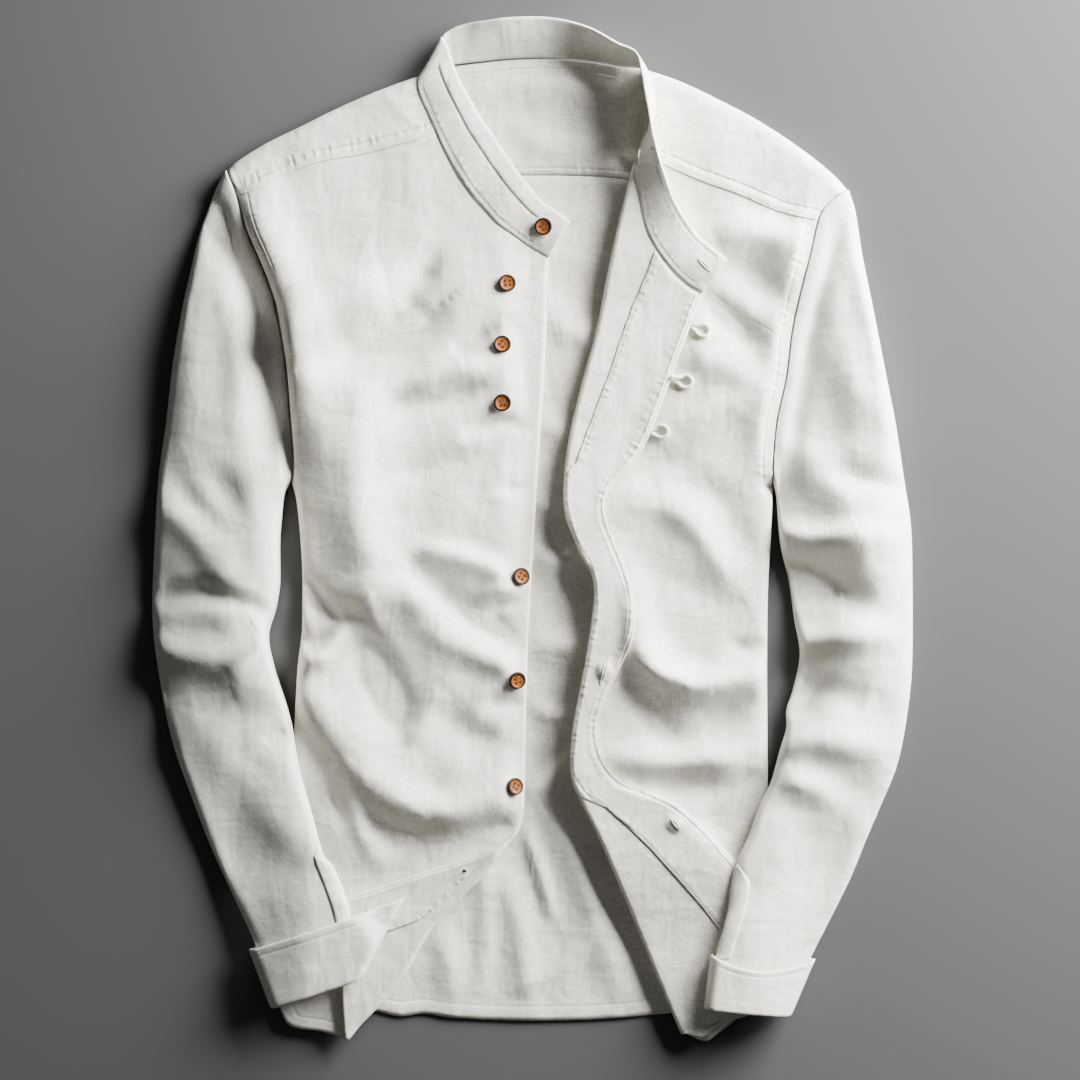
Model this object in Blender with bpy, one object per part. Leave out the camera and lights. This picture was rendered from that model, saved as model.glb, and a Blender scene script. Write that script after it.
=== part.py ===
# A long-sleeved mandarin collar shirt lying on its back on a flat surface.
# World: +Z up, the surface at z = 0, the collar towards +Y, the wearer's right towards -X.
# Sizes in the tables are millimetres. Every panel is a flat grid that a function lays in place,
# given the cloth's thickness at the end.
import math
from collections import namedtuple

import bmesh
import bpy
import numpy as np
from mathutils import Vector

for leftover in list(bpy.data.objects):
    bpy.data.objects.remove(leftover)

mm = 0.001

# ---- driving dimensions ----------------------------------------------------------------------
cloth = 1.2            # wall of one panel
bandWall = 1.8         # the collar band is two layers and an interlining
facingWall = 1.0
seamGap = 0.3          # left between two pieces that are sewn together
sideSeamHalf = 0.5     # from the side seam's middle to each of the two cloths' edges
restHeight = 0.6       # middle of the cloth where a panel lies on the surface
edgeHeight = 4.6       # middle of the cloth at the side seams and shoulder folds
bodyHeight = 9.0       # middle of the front panels above the surface, away from the folds
armholeHeight = 8.0    # middle of the cloth along the armhole seams
sideRoll = 8.0         # plan width over which the cloth rounds down to a side fold
armholeRoll = 16.0     # plan width over which the body sinks to the armhole seam
bandGap = 1.5          # from the neck seam to the middle of the band's lower edge
bandGapLeft = 2.6      # more of it where the band stands up and turns over on the left
foldRadius = 2.6       # radius of a turned-back edge
neckLift = 1.6         # the back neck seam stands this much off the surface
sleeveEdge = 4.0       # a sleeve's side folds stand this much above what it lies on
cuffGap = 2.6          # from the sleeve's end to the cuff that wraps it
buttonRadius = 6.25
buttonThickness = 2.6
loopRadius = 1.35

# ---- how the layers settle ---------------------------------------------------------------------
panelLeast = 5.0       # an upper panel's middle is never lower than this
hemHeight = 6.0        # and settles to this at the hem
hemFrom = -225         # where it starts to settle
hemOver = 60
pressedHeight = 6.0    # under a sleeve that lies on it
pressedFrom = -95
pressedOver = 45
placketHeight = 5.2    # at the right front's buttoned edge
placketOver = 34
underFlapHeight = 6.2  # under the turned-back left front
underFlapLead = 18     # the settling starts this far outside the flap's edge
chestLine = 170        # above it the flap runs up to the collar
backWavesHalf = 80     # the back shows only between the fronts, so only there it has waves
neckLiftOver = 14
neckLine = 300
underSleeveDepth = 10.5   # what a sleeve lies on beside the body, at the waist
underSleeveHem = 14.5     # and at the hem
domeTop = 16           # a sleeve's upper layer stands up by this below its head
domeCuff = 5           # and by this near the cuff
sleeveBody = 8         # height of the flat sleeve's upper layer without the dome
sleeveAtCuff = 7.5
cuffFlat = 5.6         # height of a cuff where no sleeve lies in it
cuffOverSleeve = 7.6   # more of it where one does
facingLift = 0.45      # more than the plain layer gap, for the facing of a curved flap
stripLift = 0.2
bandBase = 0.6         # the band's lower edge above the neck seam
bandCrown = 1.5        # the band bows outwards by this at mid height
mergeDistance = 0.02   # points of one panel that are closer are one
foldReach = 2.6        # a fold is felt within so many half widths
foldFade = 0.55        # share of its height that a fold loses at its ends

# ---- outlines, seen from above ----------------------------------------------------------------
armholeRight = [(-173, 35), (-171, 46), (-173.5, 79), (-177, 122), (-183, 157), (-190, 179),
                (-197, 196), (-204.5, 213), (-208.5, 227), (-212, 241), (-219, 258)]
armholeLeft = [(172, 33), (171.4, 48), (174, 78), (180.7, 109), (184.5, 140), (190, 167),
               (198, 198), (203.8, 223), (210, 233), (218, 240), (225.4, 244)]
sideRight = [(-173, 35), (-169, 18), (-165.6, -22), (-165.4, -64), (-166, -77), (-168.5, -97),
             (-170, -121), (-174, -194), (-178, -266), (-182, -342)]
sideLeft = [(172, 33), (170.6, -4), (168.5, -40), (167.8, -79), (167.8, -123), (168.5, -184),
            (170.6, -238), (173, -288), (175, -341)]
shoulderRight = [(-219, 258), (-211, 265.3), (-190, 278), (-168, 288.7), (-137, 304),
                 (-110, 315.4), (-78.5, 327)]
shoulderLeft = [(225.4, 244), (214.6, 255.6), (192, 273.6), (162.7, 293), (134.6, 308),
                (105, 322), (80, 330.5)]
yokeFrontRight = [(-212, 241), (-195.8, 246), (-180, 254.5), (-155, 264.6), (-121.7, 271),
                  (-98.6, 277), (-80, 282), (-68.6, 285)]
yokeFrontLeft = [(203.8, 223), (180.7, 228), (150, 241), (120, 252), (94.3, 263.5), (75, 270)]
yokeBack = [(-205.8, 215), (-150, 240), (-60, 253), (30, 255), (90, 249), (150, 234), (201, 211)]
placketEdge = [(11.5, 196.6), (10, 165.6), (9.4, 136), (5.8, 77), (2, 18), (-1.4, -41),
               (-3.6, -80.6), (-4.6, -115), (-5.8, -169), (-6.5, -200), (-9.4, -214.6)]
cornerFold = [(-9.4, -214.6), (-18, -225), (-36, -248.4), (-54, -266), (-74, -288), (-89, -313),
              (-106.6, -337), (-123, -354), (-133, -366.5)]
cornerEdge = [(-9.4, -214.6), (-19.4, -223), (-27.4, -227.5), (-52.6, -237), (-81, -245.5),
              (-111.6, -256), (-132, -262), (-142, -263)]
hemRight = [(-182, -342), (-176.4, -354), (-168, -358.5), (-151, -361), (-133, -366.5)]
frontFold = [(73, 264), (67.5, 244), (56, 194.4), (46, 144), (35, 103), (26, 64.8), (22.6, 35),
             (22.3, 21), (24.5, 7), (34.6, -18), (42.5, -32), (44, -50), (40, -80), (35, -109),
             (28.8, -142), (27.4, -173.5), (35, -195), (47.5, -220), (62.6, -255), (77, -290),
             (92, -327), (106.6, -361.4)]
frontEdge = [(121.7, 170.6), (114.5, 151), (105, 126), (97.2, 104), (82, 65), (71.3, 47), (57, 31),
             (51, 18.7), (54, 1.4), (64, -22), (70.6, -39), (72.7, -52), (72, -73), (63.4, -96.5),
             (52.6, -118), (45.4, -139), (46, -154), (52.6, -170.6), (67, -183), (87.8, -189.4),
             (105, -197), (123, -213), (139.7, -231), (152, -248), (159, -276), (160, -306),
             (156, -336)]
frontFlapHem = [(106.6, -361.4), (121.7, -366.8), (130.3, -361.4), (144, -351), (156, -336)]
hemLeft = [(106.6, -361.4), (125, -357), (150, -350), (175, -341)]
facingSeamLeft = [(88.6, 202.3), (80, 180.7), (72.7, 163.4), (65.5, 144.7), (50, 100), (30, 47)]
facingSeamLeftLow = [(40, -190), (48, -195), (64, -209), (79, -223), (96.5, -242.6), (114.5, -262),
                     (131, -283), (146, -310), (150, -338)]
facingSeamRight = [(-54, -266), (-67, -272), (-77, -278.6), (-89, -283.6), (-102, -288),
                   (-128, -297), (-150, -303)]
hemBack = [(-182, -342), (-150, -344), (-116, -345.6), (-96, -350), (-78.5, -348), (-57, -351),
           (-9.4, -353), (47.5, -352), (88, -348.5), (120, -346), (175, -341)]
sleeveOuterRight = [(-219, 258), (-225.4, 247.7), (-232, 232), (-240, 209.5), (-247, 179.3),
                    (-251.3, 160), (-258, 122), (-263, 79), (-268.6, 37.4), (-271.4, -8.6),
                    (-273, -62), (-268, -106), (-259, -151), (-246, -188.6), (-231, -227.5),
                    (-213, -266), (-198.7, -296.6), (-191, -320), (-185, -335)]
sleeveInnerRight = [(-173, 35), (-178, 26), (-180, 14), (-182, -9), (-182, -38), (-185, -57),
                    (-190, -76), (-186, -98), (-174, -135), (-168, -168.5), (-157, -207),
                    (-149.8, -232), (-142.6, -240.5), (-134.6, -260), (-130, -276.5),
                    (-126.5, -306), (-125, -316)]
sleeveOuterLeft = [(225.4, 244), (231, 227.5), (236, 198), (242.6, 165.6), (248.4, 136),
                   (254, 107), (260.6, 73.4), (266.4, 35), (270.7, 7), (272, -22), (272, -93),
                   (268.6, -131), (261.4, -168), (249.8, -197), (238.3, -224), (228, -249),
                   (211.7, -281.5), (199, -306), (190, -325), (184.5, -341)]
sleeveInnerLeft = [(172, 33), (175, 21), (178, -11), (184, -36), (188, -64), (192, -90),
                   (186.5, -116), (182, -129), (182, -142), (177, -159), (170.6, -181),
                   (162.7, -196), (154, -219.6), (146, -236), (142, -252), (139, -273),
                   (131, -302), (127, -322), (125.5, -337)]

# The collar band, one row for each station from the wearer's right front end, round the back of
# the neck, to the left front end: its seam (x, y), its free edge (x, y) and that edge's height.
Station = namedtuple("Station", "x y edgeX edgeY edgeZ")
collarRows = [Station(*row) for row in [
    (11.5, 196.6, 26.6, 221, 11.5), (-1.4, 203.8, 17.3, 228.2, 11.5), (-13, 211.7, 5.8, 236, 11.5),
    (-25.2, 220.3, -5, 249, 12), (-33.8, 229.7, -12.2, 258.5, 12), (-43.9, 241.2, -21, 271.4, 12),
    (-53.3, 254.9, -29.5, 284.4, 12), (-62, 270.7, -37.4, 295, 12.5), (-69.4, 286.5, -45.4, 309.6, 13),
    (-76.3, 302.4, -52.6, 322.6, 13.5), (-80.6, 312.5, -57.6, 335.5, 13.5),
    (-81.6, 319.9, -60.5, 346, 12.5), (-78.5, 327, -64.8, 353.5, 9.5), (-69, 331.2, -58.3, 359.3, 7.5),
    (-55.4, 333.4, -46.8, 362.9, 10), (-38.2, 335.5, -34.6, 364.3, 15), (-16.6, 337.7, -16.6, 365.8, 19),
    (5.8, 338.4, 5.8, 366, 20), (26.6, 337.7, 23.8, 362.9, 23), (46.8, 335.5, 42.5, 355.7, 29),
    (63.5, 332.5, 59, 345.6, 33), (80, 330.5, 72.7, 338.4, 36), (84, 317.6, 77, 324.5, 38),
    (85.7, 305.3, 79.2, 311, 39), (84.2, 292.3, 82, 295.5, 39), (78.5, 279.4, 85.7, 278.5, 37),
    (75, 266.4, 89.3, 265, 34), (75, 252, 95, 249, 30), (77.8, 234, 100.8, 235, 26),
    (82, 216, 108.7, 222.5, 22), (88.6, 202.3, 118, 210.5, 19), (98.6, 188.6, 126, 203.8, 17.5),
    (110, 177.8, 133.2, 198, 17), (121.7, 170.6, 139, 193, 16.5)]]
crestRight = 12        # the station where the band crosses the right shoulder fold
crestLeft = 21         # and the left one
yokeEndRight = 8       # the station where the right front's seam with the yoke meets the neck
yokeEndLeft = 26

# The large folds of the body's upper layer: a curve through three points, how high it stands
# (below zero is a trough) and its half width.
Fold = namedtuple("Fold", "x0 y0 x1 y1 x2 y2 high wide")
bodyFolds = [Fold(*row) for row in [
    (-178, 150, -139, 172, -80, 170, 7, 17), (-104, 108, -106, 62, -104, -20, 5, 15),
    (-88, 185, -80, 180, -76, 174, -2.5, 10), (-96, 101, -70, 96, -42, 96, -3, 11),
    (-85, 52, -70, 42, -50, 42, -3, 12), (-68, -22, -46, -28, -22, -30, 5, 12),
    (-78, -36, -48, -60, -10, -82, -4, 12), (-140, -45, -112, -52, -80, -58, 5, 20),
    (-160, -42, -150, -60, -140, -76, -3, 12), (-110, -90, -114, -118, -62, -154, -4, 13),
    (-158, -116, -105, -178, -12, -174, 8, 14), (-160, -145, -118, -180, -76, -232, -3.5, 12),
    (-134, -182, -116, -214, -96, -242, 5, 14), (-50, 140, -38, 60, -40, -10, 2, 22),
    (150, 214, 172, 210, 190, 205, 4, 16), (122, 172, 150, 168, 182, 170, -3.5, 14),
    (85, 12, 112, 14, 146, -28, 6, 13), (106, 28, 132, 4, 154, -18, -3.5, 10),
    (86, -58, 92, -98, 150, -102, 7, 15), (92, -118, 120, -142, 150, -120, -4, 12),
    (64, -156, 104, -160, 146, -156, 4.5, 14), (118, 100, 128, 60, 140, 20, 3, 18)]]
backFolds = [Fold(*row) for row in [
    (0, -20, 14, -18, 30, -24, 2.2, 12), (-2, -84, 12, -88, 34, -84, 1.8, 12),
    (-4, -186, 14, -170, 28, -160, 2.2, 10), (20, -230, 34, -262, 46, -300, 1.6, 12),
    (-30, 216, 0, 210, 30, 214, 1.6, 14)]]
sleeveFoldsRight = [Fold(*row) for row in [
    (-262, 20, -226, 0, -202, -40, 8, 12), (-244, 28, -238, 22, -232, 16, -4, 8),
    (-268, -46, -226, -50, -188, -58, -5, 7), (-266, -72, -240, -88, -196, -84, 7, 10),
    (-196, -80, -200, -92, -212, -104, 5, 7), (-262, -100, -240, -108, -212, -112, -5, 10),
    (-214, -146, -204, -160, -190, -178, -5, 9), (-246, -160, -236, -196, -220, -232, 5, 12),
    (-200, -206, -186, -222, -170, -240, -4, 10), (-188, -252, -170, -266, -156, -276, 4, 12)]]
sleeveFoldsLeft = [Fold(*row) for row in [
    (196, 180, 226, 120, 232, 70, -5, 16), (248, 150, 256, 110, 262, 60, 4, 10),
    (176, 64, 200, 50, 226, 24, 7, 14), (200, 34, 232, 40, 262, 32, -6, 8),
    (192, 12, 214, -2, 240, 6, 6, 12), (194, -30, 216, -30, 240, -34, -5, 12),
    (192, -74, 216, -74, 244, -76, 6, 12), (200, -104, 218, -110, 240, -114, -5, 12),
    (186, -150, 216, -154, 248, -148, 6, 10), (206, -162, 224, -182, 240, -196, -5, 10),
    (186, -178, 196, -188, 206, -198, 5, 12), (172, -240, 178, -270, 184, -302, 4, 14)]]

# The corners of each cuff seen from above: the rim's outer and inner ends, then the turned
# bottom edge's, how far the upper rim sags towards the bottom, and the share of the rim,
# from the outer end, under which the sleeve lies.
CuffShape = namedtuple("CuffShape", "rimOuter rimInner bottomInner bottomOuter sag sleeveShare")
cuffShapeRight = CuffShape((-203.8, -301), (-92.9, -263.5), (-122.4, -319.7), (-187.5, -342), 0, 0.82)
cuffShapeLeft = CuffShape((202.3, -308), (127.4, -303), (122.4, -341.5), (184.5, -347.8), 9, 1.2)

# Button centres and the two ends and the reach of each loop, on the left front's edge.
buttonCentres = [(7.5, 217.5), (-18.7, 176.8), (-22, 132.8), (-22, 91.4), (-9.2, -33.5),
                 (-12, -107.3), (-13.7, -183.6)]
loopRows = [(115.2, 149.8, 113.6, 142, 127.5, 140.6), (100.3, 113, 97.4, 103.7, 115.3, 105),
            (88, 74.2, 82.2, 66.3, 98, 70.6)]


# ---- curves -----------------------------------------------------------------------------------
class Line:
    """A smooth curve through a list of points, read by its length or by its rows."""

    def __init__(self, points, steps=8):
        given = [np.array(p, float) for p in points]
        ends = [2 * given[0] - given[1]] + given + [2 * given[-1] - given[-2]]
        self.steps = steps
        dense = []
        for a, b, c, d in zip(ends, ends[1:], ends[2:], ends[3:]):
            for k in range(steps):
                t = k / steps
                dense.append(0.5 * (2 * b + (c - a) * t + (2 * a - 5 * b + 4 * c - d) * t ** 2
                                    + (3 * b - a - 3 * c + d) * t ** 3))
        dense.append(given[-1])
        self.points = np.array(dense)
        spans = np.linalg.norm(np.diff(self.points, axis=0), axis=1)
        self.reach = np.concatenate([[0], np.cumsum(spans)])
        self.length = self.reach[-1]

    def at(self, share):
        """The point at a share of the length, 0 to 1."""
        s = min(max(share, 0), 1) * self.length
        return np.array([np.interp(s, self.reach, self.points[:, k]) for k in range(self.points.shape[1])])

    def row(self, number):
        """The point at a row number of the table, which need not be whole."""
        s = min(max(number, 0) * self.steps, len(self.points) - 1)
        return np.array([np.interp(s, np.arange(len(self.points)), self.points[:, k])
                         for k in range(self.points.shape[1])])

    def nearest(self, x, y):
        """Distance from (x, y) to the curve, and the length along it where it is nearest."""
        a = self.points[:-1, :2]
        step = self.points[1:, :2] - a
        t = ((x - a[:, 0]) * step[:, 0] + (y - a[:, 1]) * step[:, 1]) / np.maximum(
            (step ** 2).sum(1), 1e-9)
        t = np.clip(t, 0, 1)
        gaps = np.hypot(a[:, 0] + t * step[:, 0] - x, a[:, 1] + t * step[:, 1] - y)
        k = int(gaps.argmin())
        return gaps[k], self.reach[k] + t[k] * (self.reach[k + 1] - self.reach[k])


def smooth(t):
    t = min(max(t, 0), 1)
    return t * t * (3 - 2 * t)


def mix(a, b, t):
    return a + (b - a) * t


def roundOff(distance, width):
    """0 at an edge, rising like a quarter circle to 1 at the given width."""
    t = 1 - min(distance / width, 1)
    return math.sqrt(max(1 - t * t, 0))


def unit(vector):
    return vector / max(np.linalg.norm(vector), 1e-9)


def foldCurve(fold):
    """The curve of a fold: a parabola whose middle passes through the second point."""
    ends = np.array([[fold.x0, fold.y0], [fold.x2, fold.y2]])
    middle = 2 * np.array([fold.x1, fold.y1]) - ends.mean(0)
    t = np.linspace(0, 1, 9)[:, None]
    points = (1 - t) ** 2 * ends[0] + 2 * t * (1 - t) * middle + t ** 2 * ends[1]
    return fold, Line(points, 1)


def foldSum(x, y, curves):
    """What all the folds add to the height at (x, y); each fades towards its ends."""
    total = 0
    for fold, curve in curves:
        gap, along = curve.nearest(x, y)
        if gap < foldReach * fold.wide:
            fade = 1 - foldFade * (2 * along / curve.length - 1) ** 4
            total += fold.high * math.exp(-(gap / fold.wide) ** 2) * fade
    return total


armholes = {-1: Line(armholeRight), 1: Line(armholeLeft)}
sides = {-1: Line(sideRight), 1: Line(sideLeft)}
shoulders = {-1: Line(shoulderRight), 1: Line(shoulderLeft)}
sleeveInner = {-1: Line(sleeveInnerRight), 1: Line(sleeveInnerLeft)}
sleeveOuter = {-1: Line(sleeveOuterRight), 1: Line(sleeveOuterLeft)}
neck = Line([(row.x, row.y) for row in collarRows])
bandEdge = Line([(row.edgeX, row.edgeY, row.edgeZ) for row in collarRows])
bodyCurves = [foldCurve(fold) for fold in bodyFolds]
backCurves = [foldCurve(fold) for fold in backFolds]
sleeveCurves = {-1: [foldCurve(fold) for fold in sleeveFoldsRight],
                1: [foldCurve(fold) for fold in sleeveFoldsLeft]}


# ---- heights of the body's two layers -----------------------------------------------------------
def xAt(line, y):
    """Where a line that runs down the shirt has the given y."""
    order = np.argsort(line.points[:, 1])
    return float(np.interp(y, line.points[order, 1], line.points[order, 0]))


def armholeShare(side, along):
    """1 along an armhole seam, falling to 0 at the armpit and at the shoulder fold."""
    return roundOff(min(along, armholes[side].length - along), sideRoll)


def pressed(x, y):
    """1 where a sleeve lies on the body, 0 away from it."""
    side = 1 if x > 0 else -1
    if y > pressedFrom:
        return 0
    inside = side * (x - xAt(sleeveInner[side], max(y, sleeveInner[side].points[:, 1].min())))
    return smooth((inside + 16) / 22) * smooth((pressedFrom - y) / pressedOver)


def topHeight(x, y):
    """Height of the upper layer's middle: the fronts and the front part of the yoke."""
    side = 1 if x > 0 else -1
    z = bodyHeight + foldSum(x, y, bodyCurves)
    z = mix(z, pressedHeight, pressed(x, y))
    z = mix(z, hemHeight, smooth((hemFrom - y) / hemOver))
    if side > 0:
        lead = xAt(flapGuide, y) + underFlapLead - x
        z = mix(z, underFlapHeight, smooth(lead / (2 * underFlapLead)) if y < chestLine else 0)
    else:
        z = mix(z, placketHeight, smooth(x / placketOver + 1))
    z = max(z, panelLeast)
    gap, along = armholes[side].nearest(x, y)
    seam = mix(edgeHeight, armholeHeight, armholeShare(side, along))
    z = mix(seam, z, smooth(gap / armholeRoll))
    outline = min(sides[side].nearest(x, y)[0], shoulders[side].nearest(x, y)[0])
    return mix(edgeHeight + sideSeamHalf, z, roundOff(outline, sideRoll))


def backHeight(x, y):
    """Height of the lower layer's middle: the back and the back part of the yoke."""
    side = 1 if x > 0 else -1
    outline = min(sides[side].nearest(x, y)[0], shoulders[side].nearest(x, y)[0])
    rise = 1 - roundOff(outline, sideRoll)
    gap = neck.nearest(x, y)[0]
    lift = neckLift * smooth(1 - gap / neckLiftOver) if y > neckLine else 0
    waves = max(foldSum(x, y, backCurves), 0) if abs(x) < backWavesHalf else 0
    return mix(restHeight + lift + waves, edgeHeight - sideSeamHalf, rise)


flapGuide = Line(frontEdge)


# ---- making cloth -------------------------------------------------------------------------------
def finish(name, mesh, colour, roughness, wall=None, smoothAngle=math.radians(50)):
    thing = bpy.data.objects.new(name, mesh)
    bpy.context.collection.objects.link(thing)
    material = bpy.data.materials.new(name + "_finish")
    material.use_nodes = True
    shader = material.node_tree.nodes["Principled BSDF"]
    shader.inputs["Base Color"].default_value = (*colour, 1)
    shader.inputs["Roughness"].default_value = roughness
    shader.inputs["Metallic"].default_value = 0
    mesh.materials.append(material)
    mesh.shade_smooth()
    mesh.set_sharp_from_angle(angle=smoothAngle)
    if wall:
        solid = thing.modifiers.new("cloth", "SOLIDIFY")
        solid.thickness = wall * mm
        solid.offset = 0
    return thing


ivory = (0.80, 0.78, 0.72)
wood = (0.33, 0.14, 0.06)


def layGrid(across, down, place, normals=None):
    """A bmesh grid whose point (i, j) is moved to place(i, j), in millimetres. Where normals is
    a dictionary, it gets each point's outward direction for the pieces that lie on this one."""
    bm = bmesh.new()
    bmesh.ops.create_grid(bm, x_segments=across, y_segments=down, size=0.5)
    keys = {}
    for vertex in bm.verts:
        i = round((vertex.co.x + 0.5) * across)
        j = round((0.5 - vertex.co.y) * down)
        vertex.co = Vector(place(i, j)) * mm
        keys[i, j] = vertex
    if normals is not None:
        bm.normal_update()
        for key, vertex in keys.items():
            normals[key] = np.array(vertex.normal if vertex.normal.z > 0 else -vertex.normal)
    return bm


def sheet(name, parts, wall=cloth, colour=ivory):
    """One panel from one or more grids that share their touching points."""
    mesh = bpy.data.meshes.new(name)
    joined = bmesh.new()
    for bm in parts:
        bm.to_mesh(mesh)
        joined.from_mesh(mesh)
        bm.free()
    bmesh.ops.remove_doubles(joined, verts=joined.verts, dist=mergeDistance * mm)
    bmesh.ops.recalc_face_normals(joined, faces=joined.faces)
    joined.to_mesh(mesh)
    joined.free()
    return finish(name, mesh, colour, 0.9, wall)


def patch(u, v, top, bottom, left, right, settle=2.5):
    """A point of the patch between four curves; the top's shape fades quickly downwards."""
    topLeft, topRight = top.at(0), top.at(1)
    lowLeft, lowRight = bottom.at(0), bottom.at(1)
    point = mix(left(v), right(v), u)
    point = point + (top.at(u) - mix(topLeft, topRight, u)) * (1 - v) ** settle
    return point + (bottom.at(u) - mix(lowLeft, lowRight, u)) * v ** 8


# ---- back and yoke ------------------------------------------------------------------------------
yokeBackLine = Line(yokeBack)


def bodyEdge(side, share):
    """A point on the panel's edge: down the armhole from the yoke to the armpit, then the side."""
    armhole, seam = armholes[side], sides[side]
    total = backArmLength[side] + seam.length
    s = share * total
    if s < backArmLength[side]:
        return armhole.at((backArmLength[side] - s) / armhole.length)
    return seam.at((s - backArmLength[side]) / seam.length)


backArmLength = {side: armholes[side].nearest(*yokeBackLine.at(0 if side < 0 else 1))[1]
                 for side in (-1, 1)}


def edgeStops(count, width, near=(0, 0.14, 0.5, 1.0)):
    """Shares of a width, close together at both ends where the cloth rounds, even between."""
    ends = [sideRoll * k / width for k in near]
    middle = np.linspace(ends[-1], 1 - ends[-1], count)
    return ends[:-1] + list(middle) + [1 - k for k in reversed(ends[:-1])]


def makeBack():
    stops = edgeStops(11, 345)
    rows = 20
    hem = Line(hemBack)

    def place(i, j):
        u, v = stops[i], j / rows
        v = mix(v, v ** 0.85, 0.5)
        point = patch(u, v, yokeBackLine, hem, lambda t: bodyEdge(-1, t), lambda t: bodyEdge(1, t))
        point = point + np.array([0, -seamGap * (1 - v) ** 12])
        z = backHeight(point[0], point[1])
        for side in (-1, 1):
            gap, along = armholes[side].nearest(point[0], point[1])
            if gap < 1:
                z = mix(edgeHeight - sideSeamHalf, restHeight, armholeShare(side, along))
        return (*point, z)

    sheet("back", [layGrid(len(stops) - 1, rows, place)])


topRun = (1.0, 0.66, 0.36, 0.16, 0.055, 0.0)


def makeYoke():
    wing = 11              # columns of each front part, of each neck corner and across the back
    corner = 3
    middle = 8
    neckShare = 0.93       # the share of the shoulder fold that lies over the front seam
    columns = []
    for side in (-1, 1):
        seam = Line(yokeFrontRight if side < 0 else yokeFrontLeft)
        first, last = (yokeEndRight, crestRight) if side < 0 else (yokeEndLeft, crestLeft)
        group = []
        for k in range(wing):
            share = k / wing
            group.append((seam.at(share), shoulders[side].at(share * neckShare)))
        for k in range(corner + 1):
            share = k / corner
            crest = shoulders[side].at(mix(neckShare, 1, share))
            group.append((neck.row(mix(first, last, share)), crest))
        columns.append(group)
    centre = [(neck.row(mix(crestRight, crestLeft, k / middle)),) * 2 for k in range(1, middle)]
    order = columns[0] + centre + columns[1][::-1]
    xFirst, xLast = yokeBackLine.at(0)[0], yokeBackLine.at(1)[0]
    lowRun = (0.055, 0.16, 0.36, 0.6, 0.8, 1.0)
    topSpan = 30

    last = len(order) - 1

    def place(i, j):
        start, crest = order[i]
        depth = np.linalg.norm(crest - start)
        start = start + unit(crest - start) * seamGap if depth > 1 else start
        side = -1 if i < last / 2 else 1
        top = j < len(topRun)
        share = topRun[j] if top else lowRun[j - len(topRun)]
        if i in (0, last):
            # the yoke's ends follow the armhole on both layers
            line = armholes[side]
            reach = line.nearest(*start)[1] if top else backArmLength[side] + seamGap
            along = mix(line.length, reach, share)
            layer = armholeShare(side, along)
            high = mix(edgeHeight, armholeHeight, layer)
            low = mix(edgeHeight, restHeight, layer)
            return (*line.at(along / line.length), high if top else low)
        if not top:
            low = yokeBackLine.at((crest[0] - xFirst) / (xLast - xFirst)) + np.array([0, seamGap])
            point = mix(crest, low, share)
            return (*point, backHeight(*point))
        point = mix(crest, start, share)
        if depth < 1:
            # across the back of the neck there is no front part
            inBack = corner + wing < i < last - corner - wing
            return (*point, backHeight(*point) if inBack else edgeHeight)
        settle = 1 - roundOff(share * topSpan, sideRoll)
        return (*point, topHeight(*point) - seamGap / 2 * settle)

    rows = len(topRun) + len(lowRun) - 1
    sheet("yoke", [layGrid(last, rows, place)])


# ---- fronts --------------------------------------------------------------------------------------
def frontSide(side):
    """The front panel's outer edge from the yoke seam down to the hem."""
    armhole, seam = armholes[side], sides[side]
    start = armhole.nearest(*((yokeFrontRight if side < 0 else yokeFrontLeft)[0]))[1]
    total = start + seam.length

    def at(share):
        s = share * total
        if s < start:
            return armhole.at((start - s) / armhole.length)
        return seam.at((s - start) / seam.length)
    return at


def turned(edge, inward, below, radius, angle):
    """A point of the roll where a panel turns back on itself, angle 0 to pi."""
    point = edge + inward * radius * (1 - math.sin(angle))
    return (*point, below + radius * (1 - math.cos(angle)))


def flapHeight(x, y, radius=foldRadius):
    return topHeight(x, y) + 2 * radius


cornerFoldLine = Line(cornerFold)
cornerEdgeLine = Line(cornerEdge)
placketLine = Line(placketEdge)
frontStart = placketLine.length / (placketLine.length + cornerFoldLine.length)
rowsAbove = 21
rowsTurned = 11
cornerInward = (-0.78, 0.62)   # from the corner's fold towards what it lies on


def rightRow(j):
    """Share of the right front's length at row j; the turned corner has rows of its own."""
    if j <= rowsAbove:
        return frontStart * j / rowsAbove
    return mix(frontStart, 1, (j - rowsAbove) / rowsTurned)


def cornerParts(j):
    """Fold point, flap edge point, inward direction and roll radius at a turned row."""
    t = (j - rowsAbove) / rowsTurned
    fold = cornerFoldLine.at(t)
    far = cornerEdgeLine.at(t)
    inward = unit(np.array(cornerInward))
    radius = foldRadius * smooth(0.25 + t * 5) if t > 0 else 0
    return fold, far, inward, radius


def makeFrontRight():
    side = frontSide(-1)
    top = Line([tuple(p) for p in Line(yokeFrontRight).points[::4]]
               + [tuple(neck.row(r)) for r in np.arange(yokeEndRight - 0.5, -0.1, -0.5)], 2)
    bottom = Line(hemRight)
    stops = [0, 0.008, 0.024, 0.05] + list(np.linspace(0.12, 1, 12))
    last = rowsAbove + rowsTurned

    def edge(v):
        if v <= frontStart:
            return placketLine.at(v / frontStart)
        t = (v - frontStart) / (1 - frontStart)
        fold, far, inward, radius = cornerParts(rowsAbove + t * rowsTurned)
        return fold + inward * radius

    def place(i, j):
        u, v = stops[i], rightRow(j)
        point = patch(u, v, top, bottom, side, edge)
        point = point + np.array([0, -2 * seamGap * (1 - v) ** 30])
        if i == 0 and v < rowsHalf:
            point = point + np.array([2 * seamGap, 0])
        return (*point, topHeight(*point))

    sheet("front_right", [layGrid(len(stops) - 1, last, place),
                          layGrid(7, rowsTurned, cornerPoint, cornerNormals)])


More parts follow.
